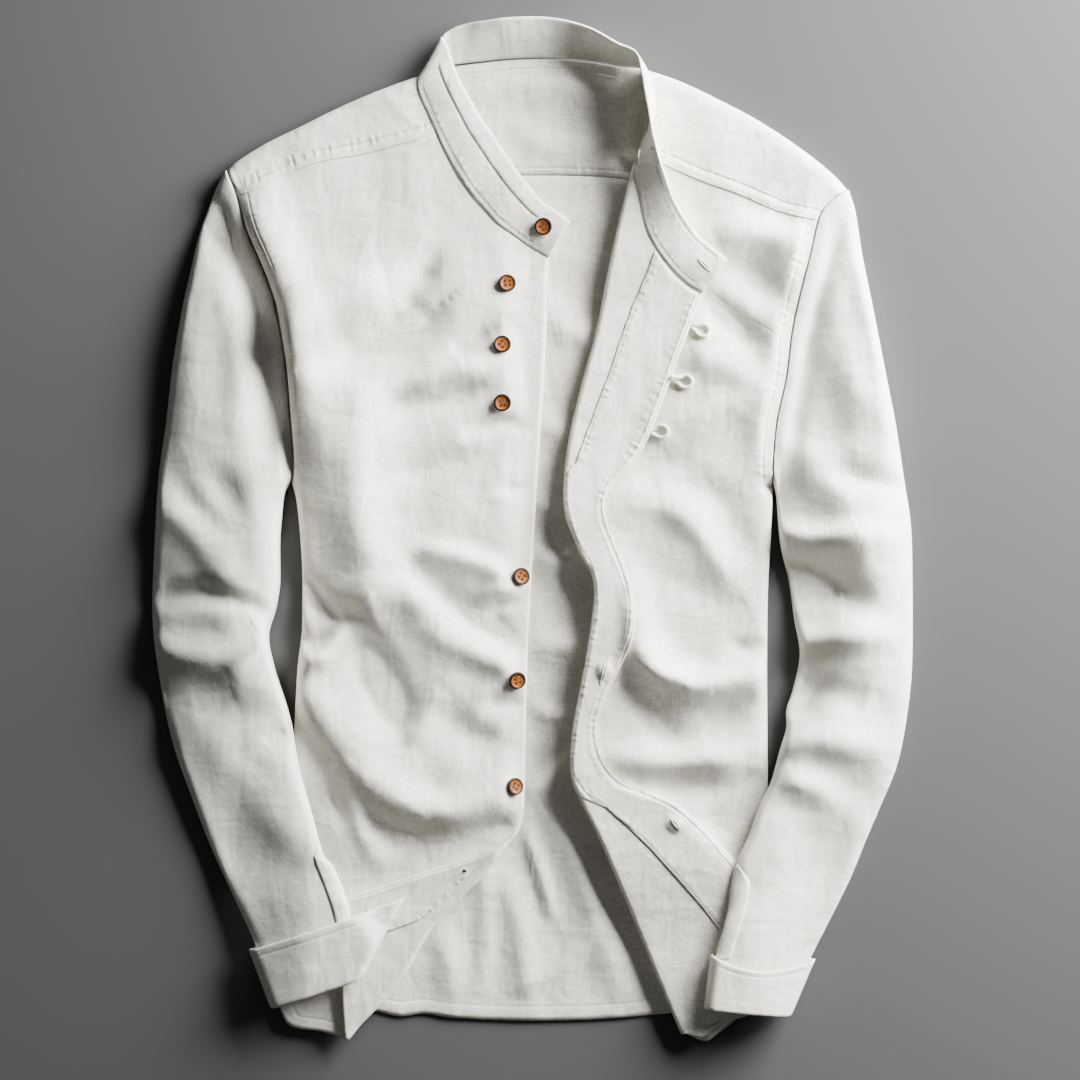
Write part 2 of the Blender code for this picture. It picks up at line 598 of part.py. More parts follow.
def cornerPoint(i, j):
    """A point of the turned corner: columns 0 to 2 roll over, 4 is the facing's seam, 7 the edge."""
    fold, far, inward, radius = cornerParts(rowsAbove + j)
    start = fold + inward * radius
    if i < 3:
        return turned(fold, inward, topHeight(*start), radius, math.pi * i / 2)
    seam = cornerShares[j]
    share = mix(0.0, seam, (i - 2) / 2) if i < 5 else mix(seam, 1, (i - 4) / 3)
    point = mix(start, far, share)
    return (*point, topHeight(*point) + 2 * radius)


frontFoldLine = Line(frontFold)
frontEdgeLine = Line(frontEdge)
flapTop = Line([tuple(neck.row(r)) for r in np.linspace(yokeEndLeft, len(collarRows) - 1, 15)], 2)
flapHemLine = Line(frontFlapHem)
leftRows = 36
flapOuter = 4          # flap columns outside the facing's seam
facingLeast = 7.5      # the facing stays this far from the fold
facingNear = 6.0       # a seam line nearer than this is the facing's edge
rowsHalf = 0.36        # share of the length down to the flap's widest point


def facingShare(fold, far, seams):
    """How far across a turned-back part, from its fold, the facing's inner edge lies: at its seam,
    or just clear of the fold's roll where the facing runs on round the fold."""
    least = min(facingLeast / max(np.linalg.norm(far - fold), 12), 0.5)
    best, share = facingNear, least
    for t in np.linspace(least, 0.8, 33):
        point = mix(fold, far, t)
        gap = min(seam.nearest(*point)[0] for seam in seams)
        if gap < best:
            best, share = gap, t
    return share


def flapPoint(i, j):
    """A point of the turned-back left front: columns 0 to 2 roll over, then across to the edge."""
    v = j / leftRows
    fold, far = frontFoldLine.at(v), frontEdgeLine.at(v)
    ahead, behind = frontFoldLine.at(v + 0.02), frontFoldLine.at(v - 0.02)
    along = unit(behind - ahead)
    inward = np.array([along[1], -along[0]])
    below = topHeight(*(fold + inward * foldRadius))
    if i < 3:
        return turned(fold, inward, below, foldRadius, math.pi * i / 2)
    seam = facingShares[j]
    share = mix(0.06, seam, (i - 2) / 3) if i < 5 else mix(seam, 1, (i - 5) / flapOuter)
    start = fold + inward * foldRadius
    point = mix(start, far, share)
    point = point + (flapTop.at(share) - mix(flapTop.at(0), flapTop.at(1), share)) * (1 - v) ** 6
    point = point + (flapHemLine.at(share)
                     - mix(flapHemLine.at(0), flapHemLine.at(1), share)) * v ** 8
    return (*point, flapHeight(*point))


facingShares = [facingShare(frontFoldLine.at(j / leftRows), frontEdgeLine.at(j / leftRows),
                            [Line(facingSeamLeft), Line(facingSeamLeftLow)])
                for j in range(leftRows + 1)]
cornerShares = [facingShare(*cornerParts(rowsAbove + j)[:2], [Line(facingSeamRight)])
                for j in range(rowsTurned + 1)]
cornerNormals, flapNormals = {}, {}


def makeFrontLeft():
    side = frontSide(1)
    top, bottom = Line(yokeFrontLeft), Line(hemLeft[::-1])
    stops = [0, 0.01, 0.03, 0.06] + list(np.linspace(0.14, 1, 10))

    def edge(v):
        fold = frontFoldLine.at(v)
        along = unit(frontFoldLine.at(v - 0.02) - frontFoldLine.at(v + 0.02))
        return fold + np.array([along[1], -along[0]]) * foldRadius

    def place(i, j):
        drop = np.array([0, -8 * seamGap * (1 - j / leftRows) ** 30, 0])
        if i >= len(stops) - 1:
            return np.array(flapPoint(i - len(stops) + 1, j)) + drop
        u, v = stops[i], j / leftRows
        point = patch(u, v, top, bottom, side, edge)
        point = point + np.array([0, -2 * seamGap * (1 - v) ** 30])
        if i == 0 and v < rowsHalf:
            point = point - np.array([2 * seamGap, 0])
        return (*point, topHeight(*point))

    normals = {}
    sheet("front_left", [layGrid(len(stops) - 1 + 5 + flapOuter, leftRows, place, normals)])
    for (i, j), normal in normals.items():
        flapNormals[i - len(stops) + 1, j] = normal


def makeFacings():
    """The facings lie on the turned-back parts: their points moved out, inside the front edge."""
    lift = cloth / 2 + seamGap + facingWall / 2 + facingLift

    def left(i, j):
        point = np.array(flapPoint(i + 5, j))
        if j == 0:
            point = mix(point, np.array(flapPoint(i + 5, 1)), 0.16)
        if i == flapOuter:
            point = mix(point, np.array(flapPoint(i + 4, j)), 0.3)
        return point + flapNormals[i + 5, j] * lift

    def right(i, j):
        return np.array(cornerPoint(i + 4, j + 2)) + cornerNormals[i + 4, j + 2] * lift

    sheet("facing_left", [layGrid(flapOuter, leftRows, left)], facingWall)
    sheet("facing_right", [layGrid(3, rowsTurned - 2, right)], facingWall)


# ---- collar, sleeves and cuffs --------------------------------------------------------------------
def freeSide(row):
    """Direction, seen from above, in which the band's seam faces away from what it is sewn to."""
    along = unit(neck.row(row + 0.3) - neck.row(row - 0.3))
    right = np.array([along[1], -along[0]])
    turns = ((crestRight, (0.9, 0.4)), (crestLeft, (-0.9, 0.4)), (yokeEndLeft, (-1, 0.2)))
    sign, extra = 1, np.zeros(2)
    for turn, away in turns:
        across = min(max((row - turn) / 0.8, -1), 1)
        sign *= -across
        extra += (1 - abs(across)) * np.array(away)
    return unit(right * sign + extra)


def neckHeight(row):
    """Height of the neck seam at a station: front, over the shoulder, back, and on to the flap."""
    seam = neck.row(row)
    if crestRight <= row <= crestLeft:
        return mix(backHeight(*seam), edgeHeight, smooth(1 - min(row - crestRight, crestLeft - row)))
    return topHeight(*seam) + 2 * foldRadius * smooth((row - yokeEndLeft + 1.4) / 1.6)


def makeCollar():
    columns = 51
    rise = (0.0, 0.34, 0.68, 1.0)

    def place(i, j):
        row = i / columns * (len(collarRows) - 1)
        seam, far = neck.row(row), bandEdge.row(row)
        gap = bandGap + bandGapLeft * smooth((row - crestLeft) / 1.5) * smooth((32.5 - row) / 1.5)
        base = np.array([*(seam + freeSide(row) * gap), neckHeight(row) + bandBase])
        crown = math.sin(math.pi * rise[j]) * bandCrown
        return mix(base, far, rise[j]) + np.array([0, 0, crown])

    sheet("collar", [layGrid(columns, len(rise) - 1, place)], bandWall)


def bodyUnder(side, x, y):
    """Height that a sleeve must keep above the surface where it lies on the body."""
    if y > -40:
        return 0
    inside = side * (xAt(sides[side], max(y, -341)) - x)
    depth = mix(underSleeveDepth, underSleeveHem, smooth((-170 - y) / 60))
    return depth * smooth((inside + 25) / 42) * smooth((-70 - y) / 60)


sleeveRing = 20
sleeveRows = 25
placketFirst = (1, 18)  # the sleeve's column and row where the placket's strip starts
placketRows = 4


def makeSleeve(side, name):
    ring, rows = sleeveRing, sleeveRows
    armhole, inner, outer = armholes[side], sleeveInner[side], sleeveOuter[side]

    def place(i, j):
        t = (j / rows) ** 1.08
        angle = 2 * math.pi * i / ring
        w = 0.5 - 0.5 * math.cos(angle)
        upper = 0 < i < ring / 2
        start, end = inner.at(t), outer.at(t)
        width = np.linalg.norm(end - start)
        bow = armhole.at(w) - mix(armhole.at(0), armhole.at(1), w)
        point = mix(start, end, w) + bow * (1 - t) ** 6
        outward = np.array([side * 4 * seamGap, 0])
        point = point + outward * (1 - t) ** 30
        q = roundOff(min(w, 1 - w) * width, sideRoll)
        base = bodyUnder(side, *point) + cuffGap * smooth((t - 0.8) / 0.08)
        low = restHeight + base + sleeveEdge * (1 - q)
        if not upper:
            return (*point, low)
        dome = mix(domeTop, domeCuff, smooth((t - 0.3) / 0.6)) * math.sin(math.pi * w) ** 0.8
        folds = foldSum(*point, sleeveCurves[side])
        settle = smooth(t / 0.05)
        high = mix(armholeHeight - restHeight, sleeveBody + dome + folds, settle)
        high = mix(high, sleeveAtCuff, smooth((t - 0.78) / 0.1))
        high = max(high, sleeveEdge + 2)
        return (*point, restHeight + base + sleeveEdge + (high - sleeveEdge) * q)

    normals = {}
    sheet(name, [layGrid(ring, rows, place, normals)])
    # the placket's strip lies on the sleeve beside its inner edge, above the cuff
    lift = cloth / 2 + seamGap + facingWall / 2 + stripLift

    def strip(i, j):
        key = (placketFirst[0] + i, placketFirst[1] + j)
        return np.array(place(*key)) + normals[key] * lift

    sheet(name.replace("sleeve", "placket"), [layGrid(2, placketRows, strip)], facingWall)


def makeCuff(side, name, shape):
    ring = 18
    rimOuter, rimInner, bottomInner, bottomOuter = (np.array(p, float) for p in shape[:4])
    rows = (0.0, 0.33, 0.66, 0.93, 1.0, 0.93)    # down the outside, round the bottom, up inside

    def place(i, j):
        angle = 2 * math.pi * i / ring
        w = 0.5 - 0.5 * math.cos(angle)          # 0 at the outer end, 1 at the inner end
        upper = 0 < i < ring / 2
        fall = rows[j]
        inside = j == len(rows) - 1
        tuck = cuffGap * (0.5 if j == 4 else 0.93 if inside else 0)
        start, end = mix(rimOuter, bottomOuter, fall), mix(rimInner, bottomInner, fall)
        across = unit(end - start)
        start, end = start + across * tuck, end - across * tuck
        width = np.linalg.norm(end - start)
        point = mix(start, end, w)
        down = unit(mix(bottomOuter, bottomInner, 0.5) - mix(rimOuter, rimInner, 0.5))
        point = point + down * shape.sag * math.sin(math.pi * w) * (1 - fall) * (1 if upper else 0)
        q = roundOff(min(w, 1 - w) * width, sideRoll * 0.8)
        base = restHeight + stripLift + bodyUnder(side, *point)
        sleeveEnd = mix(shape.sleeveShare, 1.3, fall)
        high = cuffFlat + cuffOverSleeve * smooth((sleeveEnd - w) / 0.15)
        edge = min(sleeveEdge, high / 2)
        if upper:
            return (*point, base + edge + (high - edge) * q - tuck * q)
        return (*point, base + edge * (1 - q) + tuck * q)

    sheet(name, [layGrid(ring, len(rows) - 1, place)], cloth)


# ---- buttons and loops ------------------------------------------------------------------------------
def surfaceUnder(names, x, y):
    """The highest point and the normal of the named panels under (x, y)."""
    depsgraph = bpy.context.evaluated_depsgraph_get()
    best = None
    for name in names:
        thing = bpy.data.objects[name].evaluated_get(depsgraph)
        hit, place, normal, _ = thing.ray_cast(Vector((x * mm, y * mm, 0.1)), Vector((0, 0, -1)))
        if hit and (best is None or place.z > best[0].z):
            best = (place.copy(), normal.copy())
    return best


# Share of the radius and share of the thickness, from the middle of the back to the dished face.
buttonProfile = [(0, 0), (0.8, 0), (1.0, 0.25), (1.0, 0.75), (0.86, 1.0), (0.68, 0.86), (0, 0.8)]


def makeButton(number, x, y):
    around = [(0, 0)] + [(math.cos(a) * buttonRadius, math.sin(a) * buttonRadius)
                         for a in np.linspace(0, 2 * math.pi, 9)[:-1]]
    hits = [surfaceUnder(("front_right", "collar"), x + dx, y + dy) for dx, dy in around]
    hits = [hit for hit in hits if hit]
    normal = sum((hit[1] for hit in hits), Vector()).normalized()
    centre = Vector((x * mm, y * mm, hits[0][0].z))
    lift = max((hit[0] - centre).dot(normal) for hit in hits) + seamGap * mm
    bm = bmesh.new()
    chain = [bm.verts.new((r * buttonRadius * mm, 0, h * buttonThickness * mm))
             for r, h in buttonProfile]
    edges = [bm.edges.new(pair) for pair in zip(chain, chain[1:])]
    bmesh.ops.spin(bm, geom=chain + edges, cent=(0, 0, 0), axis=(0, 0, 1), angle=2 * math.pi,
                   steps=14, use_merge=True, use_duplicate=False)
    bmesh.ops.remove_doubles(bm, verts=bm.verts, dist=0.001 * mm)
    bmesh.ops.recalc_face_normals(bm, faces=bm.faces)
    turn = Vector((0, 0, 1)).rotation_difference(normal)
    bmesh.ops.rotate(bm, verts=bm.verts, cent=(0, 0, 0), matrix=turn.to_matrix())
    bmesh.ops.translate(bm, verts=bm.verts, vec=centre + normal * lift)
    name = f"button_{number}"
    mesh = bpy.data.meshes.new(name)
    bm.to_mesh(mesh)
    bm.free()
    finish(name, mesh, wood, 0.45, smoothAngle=math.radians(30))


def makeLoop(number, row):
    """A button loop: out from the turned front edge and back, drooping on to the panel below."""
    x0, y0, x1, y1, reachX, reachY = row

    def bead(x, y, level, share):
        under = topHeight(x, level) + cloth / 2 + loopRadius + 2 * seamGap
        return (x, y, mix(flapHeight(x, level), under, share))

    rootGap = 2
    bulge = (0.55, -0.05, 0.75)     # share of the reach, of the spread and of the drop half way
    rootTop = (x0 + rootGap, y0, flapHeight(x0, y0))
    rootLow = (x1 + rootGap, y1, flapHeight(x1, y1))
    line = Line([rootTop,
                 bead(mix(x0, reachX, bulge[0]), mix(y0, reachY, bulge[1]), y0, bulge[2]),
                 bead(reachX, reachY, reachY, 1),
                 bead(mix(x1, reachX, bulge[0]), mix(y1, reachY, bulge[1]), y1, bulge[2]),
                 rootLow])
    curve = bpy.data.curves.new("loop", "CURVE")
    curve.dimensions = "3D"
    curve.bevel_depth = loopRadius * mm
    curve.bevel_resolution = 1
    curve.use_fill_caps = True
    spline = curve.splines.new("POLY")
    spline.points.add(12)
    for k, point in enumerate(spline.points):
        point.co = (*(line.at(k / 12) * mm), 1)
    guide = bpy.data.objects.new("loop_guide", curve)
    bpy.context.collection.objects.link(guide)
    bpy.context.view_layer.update()
    depsgraph = bpy.context.evaluated_depsgraph_get()
    mesh = bpy.data.meshes.new_from_object(guide.evaluated_get(depsgraph))
    bpy.data.objects.remove(guide)
    bm = bmesh.new()
    bm.from_mesh(mesh)
    bmesh.ops.remove_doubles(bm, verts=bm.verts, dist=0.001 * mm)
    bmesh.ops.recalc_face_normals(bm, faces=bm.faces)
    bm.to_mesh(mesh)
    bm.free()
    mesh.materials.clear()
    finish(f"loop_{number}", mesh, ivory, 0.9)


def makeAll():
    makeBack()
    makeYoke()
    makeFrontRight()
    makeFrontLeft()
    makeFacings()
    makeCollar()
    makeSleeve(-1, "sleeve_right")
    makeSleeve(1, "sleeve_left")
    makeCuff(-1, "cuff_right", cuffShapeRight)
    makeCuff(1, "cuff_left", cuffShapeLeft)
    bpy.context.view_layer.update()
    for number, (x, y) in enumerate(buttonCentres, 1):
        makeButton(number, x, y)
    for number, row in enumerate(loopRows, 1):
        makeLoop(number, row)


makeAll()
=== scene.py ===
# A long-sleeved mandarin collar shirt, laid on its back: cloth, seams, buttons and loops.
# Lengths are millimetres in the frame's own directions. The wearer's right is at -X, and where
# the two sides differ, -1 stands for the right one and 1 for the left one.
import math
from collections import namedtuple

import bmesh
import bpy
import numpy as np
from mathutils import Matrix, Vector, noise
from mathutils.bvhtree import BVHTree

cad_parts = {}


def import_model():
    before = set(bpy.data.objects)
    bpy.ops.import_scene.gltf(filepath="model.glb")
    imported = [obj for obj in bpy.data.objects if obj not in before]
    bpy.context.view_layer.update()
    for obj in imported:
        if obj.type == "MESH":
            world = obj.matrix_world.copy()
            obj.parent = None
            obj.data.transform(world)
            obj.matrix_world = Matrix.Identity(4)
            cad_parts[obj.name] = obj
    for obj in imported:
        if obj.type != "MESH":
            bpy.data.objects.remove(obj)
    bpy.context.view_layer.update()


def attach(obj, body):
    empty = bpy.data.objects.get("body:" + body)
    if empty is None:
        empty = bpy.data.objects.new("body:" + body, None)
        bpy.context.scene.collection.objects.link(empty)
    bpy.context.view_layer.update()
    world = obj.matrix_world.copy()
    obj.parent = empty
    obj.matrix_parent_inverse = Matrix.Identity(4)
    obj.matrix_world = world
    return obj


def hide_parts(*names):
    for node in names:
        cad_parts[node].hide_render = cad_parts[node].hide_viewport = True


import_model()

mm = 0.001


class Line:
    # A smooth curve through points, read at shares of its length or at rows of its table.
    def __init__(self, points, steps=8):
        self.given = [np.array(p, float) for p in points]
        self.steps = steps
        first, last = self.given[0], self.given[-1]
        ends = [2 * first - self.given[1]] + self.given + [2 * last - self.given[-2]]
        dense = []
        for a, b, c, d in zip(ends, ends[1:], ends[2:], ends[3:]):
            for k in range(steps):
                t = k / steps
                dense.append(0.5 * (2 * b + (c - a) * t + (2 * a - 5 * b + 4 * c - d) * t ** 2
                                    + (3 * b - a - 3 * c + d) * t ** 3))
        dense.append(last)
        self.points = np.array(dense)
        spans = np.linalg.norm(np.diff(self.points, axis=0), axis=1)
        self.reach = np.concatenate([[0], np.cumsum(spans)])
        self.length = self.reach[-1]

    def read(self, where, marks):
        return np.stack([np.interp(where, marks, self.points[:, k])
                         for k in range(self.points.shape[1])], axis=-1)

    def at(self, share):
        return self.read(np.clip(share, 0, 1) * self.length, self.reach)

    def row(self, number):
        last = len(self.points) - 1
        return self.read(np.clip(np.asarray(number, float) * self.steps, 0, last), np.arange(last + 1))

    def nearest(self, x, y):
        # distance from each point, the length along the curve there, and the side (+1 is left)
        x, y = np.broadcast_arrays(np.asarray(x, float), np.asarray(y, float))
        shape, px, py = x.shape, x.reshape(-1, 1), y.reshape(-1, 1)
        a = self.points[:-1, :2]
        step = self.points[1:, :2] - a
        t = ((px - a[:, 0]) * step[:, 0] + (py - a[:, 1]) * step[:, 1]) / np.maximum(
            (step ** 2).sum(1), 1e-9)
        t = np.clip(t, 0, 1)
        dx, dy = px - a[:, 0] - t * step[:, 0], py - a[:, 1] - t * step[:, 1]
        gaps = np.hypot(dx, dy)
        k = gaps.argmin(1)
        n = np.arange(len(k))
        along = self.reach[k] + t[n, k] * (self.reach[k + 1] - self.reach[k])
        side = np.where(step[k, 0] * dy[n, k] - step[k, 1] * dx[n, k] < 0, -1, 1)
        return gaps[n, k].reshape(shape), along.reshape(shape), side.reshape(shape)

    def beside(self, distance):
        # a curve at this distance from this one; positive is to its left
        step = unit(np.gradient(self.points[:, :2], axis=0))
        away = np.stack([-step[:, 1], step[:, 0]], axis=-1)
        return Line((self.points[:, :2] + away * distance)[::4], 4)

    def shape(self, share):
        # how far the curve bows away from the straight way between its ends
        return self.at(share) - mix(self.at(0), self.at(1), share[..., None])


def smooth(t):
    t = np.clip(t, 0, 1)
    return t * t * (3 - 2 * t)


def past(value, level, fade):
    # 0 up to a level, and 1 from a fade's length past it
    return smooth((value - level) / fade)


def before(value, level, fade):
    # 0 from a level on, and 1 up to a fade's length before it
    return smooth((level - value) / fade)


def atStart(share, power=30):
    # 1 at a share of 0; a greater power keeps it to the first few rows
    return (1 - share) ** power


def mix(a, b, t):
    return a + (b - a) * t


def roundOff(distance, width):
    # 0 at an edge, rising like a quarter circle to 1 at the given width
    t = 1 - np.clip(distance / width, 0, 1)
    return np.sqrt(np.maximum(1 - t * t, 0))


def bell(distance, width):
    return np.exp(-(distance / width) ** 2)


def unit(vector):
    return vector / np.maximum(np.linalg.norm(vector, axis=-1, keepdims=True), 1e-9)


# the outlines, seen from above; armholes and side seams start at the armpit
armholes = {
    -1: Line([(-173, 35), (-171, 46), (-173.5, 79), (-177, 122), (-183, 157), (-190, 179),
              (-197, 196), (-204.5, 213), (-208.5, 227), (-212, 241), (-219, 258)]),
    1: Line([(172, 33), (171.4, 48), (174, 78), (180.7, 109), (184.5, 140), (190, 167), (198, 198),
             (203.8, 223), (210, 233), (218, 240), (225.4, 244)])}
sides = {
    -1: Line([(-173, 35), (-169, 18), (-165.6, -22), (-165.4, -64), (-166, -77), (-168.5, -97),
              (-170, -121), (-174, -194), (-178, -266), (-182, -342)]),
    1: Line([(172, 33), (170.6, -4), (168.5, -40), (167.8, -79), (167.8, -123), (168.5, -184),
             (170.6, -238), (173, -288), (175, -341)])}
shoulders = {
    -1: Line([(-219, 258), (-211, 265.3), (-190, 278), (-168, 288.7), (-137, 304), (-110, 315.4),
              (-78.5, 327)]),
    1: Line([(225.4, 244), (214.6, 255.6), (192, 273.6), (162.7, 293), (134.6, 308), (105, 322),
             (80, 330.5)])}
yokeFronts = {
    -1: Line([(-212, 241), (-195.8, 246), (-180, 254.5), (-155, 264.6), (-121.7, 271), (-98.6, 277),
              (-80, 282), (-68.6, 285)]),
    1: Line([(203.8, 223), (180.7, 228), (150, 241), (120, 252), (94.3, 263.5), (75, 270)])}
chestSeams = {
    -1: Line([(-183.6, 165.6), (-175, 172.8), (-167.8, 177), (-154.8, 183.6), (-142.6, 188.6),
              (-131, 194.4), (-123.8, 197.3)]),
    1: Line([(126, 171.4), (139.7, 161.3), (151.2, 152.6), (164.2, 146.2), (172, 140.4),
             (178, 135.4)])}
sleeveInner = {
    -1: Line([(-173, 35), (-178, 26), (-180, 14), (-182, -9), (-182, -38), (-185, -57), (-190, -76),
              (-186, -98), (-174, -135), (-168, -168.5), (-157, -207), (-149.8, -232),
              (-142.6, -240.5), (-134.6, -260), (-130, -276.5), (-126.5, -306), (-125, -316)]),
    1: Line([(172, 33), (175, 21), (178, -11), (184, -36), (188, -64), (192, -90), (186.5, -116),
             (182, -129), (182, -142), (177, -159), (170.6, -181), (162.7, -196), (154, -219.6),
             (146, -236), (142, -252), (139, -273), (131, -302), (127, -322), (125.5, -337)])}
sleeveOuter = {
    -1: Line([(-219, 258), (-225.4, 247.7), (-232, 232), (-240, 209.5), (-247, 179.3),
              (-251.3, 160), (-258, 122), (-263, 79), (-268.6, 37.4), (-271.4, -8.6), (-273, -62),
              (-268, -106), (-259, -151), (-246, -188.6), (-231, -227.5), (-213, -266),
              (-198.7, -296.6), (-191, -320), (-185, -335)]),
    1: Line([(225.4, 244), (231, 227.5), (236, 198), (242.6, 165.6), (248.4, 136), (254, 107),
             (260.6, 73.4), (266.4, 35), (270.7, 7), (272, -22), (272, -93), (268.6, -131),
             (261.4, -168), (249.8, -197), (238.3, -224), (228, -249), (211.7, -281.5), (199, -306),
             (190, -325), (184.5, -341)])}
yokeBackLine = Line([(-205.8, 215), (-150, 240), (-60, 253), (30, 255), (90, 249), (150, 234),
                     (201, 211)])
hemBack = Line([(-182, -342), (-150, -344), (-116, -345.6), (-96, -350), (-78.5, -348), (-57, -351),
                (-9.4, -353), (47.5, -352), (88, -348.5), (120, -346), (175, -341)])
# the right front: its button edge, the turned corner's fold and free edge, and the hem
placketLine = Line([(11.5, 196.6), (10, 165.6), (9.4, 136), (5.8, 77), (2, 18), (-1.4, -41),
                    (-3.6, -80.6), (-4.6, -115), (-5.8, -169), (-6.5, -200), (-9.4, -214.6)])
cornerFoldLine = Line([(-9.4, -214.6), (-18, -225), (-36, -248.4), (-54, -266), (-74, -288),
                       (-89, -313), (-106.6, -337), (-123, -354), (-133, -366.5)])
cornerEdgeLine = Line([(-9.4, -214.6), (-19.4, -223), (-27.4, -227.5), (-52.6, -237), (-81, -245.5),
                       (-111.6, -256), (-132, -262), (-142, -263)])
hemRight = Line([(-182, -342), (-176.4, -354), (-168, -358.5), (-151, -361), (-133, -366.5)])
facingSeamRight = Line([(-54, -266), (-67, -272), (-77, -278.6), (-89, -283.6), (-102, -288),
                        (-128, -297), (-150, -303)])
# the left front: the fold of its turned-back part, that part's free edge and hem, and its own hem
frontFoldLine = Line([(73, 264), (67.5, 244), (56, 194.4), (46, 144), (35, 103), (26, 64.8),
                      (22.6, 35), (22.3, 21), (24.5, 7), (34.6, -18), (42.5, -32), (44, -50),
                      (40, -80), (35, -109), (28.8, -142), (27.4, -173.5), (35, -195), (47.5, -220),
                      (62.6, -255), (77, -290), (92, -327), (106.6, -361.4)])
frontEdgeLine = Line([(121.7, 170.6), (114.5, 151), (105, 126), (97.2, 104), (82, 65), (71.3, 47),
                      (57, 31), (51, 18.7), (54, 1.4), (64, -22), (70.6, -39), (72.7, -52),
                      (72, -73), (63.4, -96.5), (52.6, -118), (45.4, -139), (46, -154),
                      (52.6, -170.6), (67, -183), (87.8, -189.4), (105, -197), (123, -213),
                      (139.7, -231), (152, -248), (159, -276), (160, -306), (156, -336)])
frontFlapHem = Line([(106.6, -361.4), (121.7, -366.8), (130.3, -361.4), (144, -351), (156, -336)])
hemLeft = Line([(175, -341), (150, -350), (125, -357), (106.6, -361.4)])
facingSeamLeft = Line([(88.6, 202.3), (80, 180.7), (72.7, 163.4), (65.5, 144.7), (50, 100),
                       (30, 47)])
facingSeamLeftLow = Line([(40, -190), (48, -195), (64, -209), (79, -223), (96.5, -242.6),
                          (114.5, -262), (131, -283), (146, -310), (150, -338)])

# The collar band from the wearer's right front end, round the back of the neck, to the left
# front end: a point of its seam, the point of its free edge above that, and the edge's height.
Station = namedtuple("Station", "x y edgeX edgeY edgeZ")
collarRows = [Station(*row) for row in [
    (11.5, 196.6, 26.6, 221, 11.5), (-1.4, 203.8, 17.3, 228.2, 11.5), (-13, 211.7, 5.8, 236, 11.5),
    (-25.2, 220.3, -5, 249, 12), (-33.8, 229.7, -12.2, 258.5, 12), (-43.9, 241.2, -21, 271.4, 12),
    (-53.3, 254.9, -29.5, 284.4, 12), (-62, 270.7, -37.4, 295, 12.5), (-69.4, 286.5, -45.4, 309.6, 13),
    (-76.3, 302.4, -52.6, 322.6, 13.5), (-80.6, 312.5, -57.6, 335.5, 13.5),
    (-81.6, 319.9, -60.5, 346, 12.5), (-78.5, 327, -64.8, 353.5, 9.5), (-69, 331.2, -58.3, 359.3, 7.5),
    (-55.4, 333.4, -46.8, 362.9, 10), (-38.2, 335.5, -34.6, 364.3, 15), (-16.6, 337.7, -16.6, 365.8, 19),
    (5.8, 338.4, 5.8, 366, 20), (26.6, 337.7, 23.8, 362.9, 23), (46.8, 335.5, 42.5, 355.7, 29),
    (63.5, 332.5, 59, 345.6, 33), (80, 330.5, 72.7, 338.4, 36), (84, 317.6, 77, 324.5, 38),
    (85.7, 305.3, 79.2, 311, 39), (84.2, 292.3, 82, 295.5, 39), (78.5, 279.4, 85.7, 278.5, 37),
    (75, 266.4, 89.3, 265, 34), (75, 252, 95, 249, 30), (77.8, 234, 100.8, 235, 26),
    (82, 216, 108.7, 222.5, 22), (88.6, 202.3, 118, 210.5, 19), (98.6, 188.6, 126, 203.8, 17.5),
    (110, 177.8, 133.2, 198, 17), (121.7, 170.6, 139, 193, 16.5)]]
crests = {-1: 12, 1: 21}             # stations where the band crosses the shoulder folds
yokeEnds = {-1: 8, 1: 26}            # and where the front seams of the yoke meet the neck
neck = Line([(row.x, row.y) for row in collarRows])
bandEdge = Line([(row.edgeX, row.edgeY, row.edgeZ) for row in collarRows])

# A fold runs along a curve through three points. high is its height, below zero for a trough,
# wideStart and wideEnd its half widths at the two ends, and lean makes its left side, seen along
# the curve, gentler than its right one (or steeper, below zero).
Fold = namedtuple("Fold", "x0 y0 x1 y1 x2 y2 high wideStart wideEnd lean")
endDrop = 0.55                       # share of a fold's height that is gone at its two ends


def readFolds(rows):
    # each row as a fold and its curve, which is a parabola through the three points
    t = np.linspace(0, 1, 15)[:, None]
    folds = []
    for fold in (Fold(*row) for row in rows):
        ends = np.array([[fold.x0, fold.y0], [fold.x2, fold.y2]])
        middle = 2 * np.array([fold.x1, fold.y1]) - ends.mean(0)
        curve = Line((1 - t) ** 2 * ends[0] + 2 * t * (1 - t) * middle + t ** 2 * ends[1], 1)
        folds.append((fold, curve))
    return folds


def foldSum(x, y, folds):
    # what all the folds add to the height
    total = np.zeros(np.shape(x))
    for fold, curve in folds:
        gap, along, side = curve.nearest(x, y)
        share = along / curve.length
        wide = mix(fold.wideStart, fold.wideEnd, share) * (1 + fold.lean * side)
        total += fold.high * bell(gap, wide) * (1 - endDrop * (2 * share - 1) ** 4)
    return total


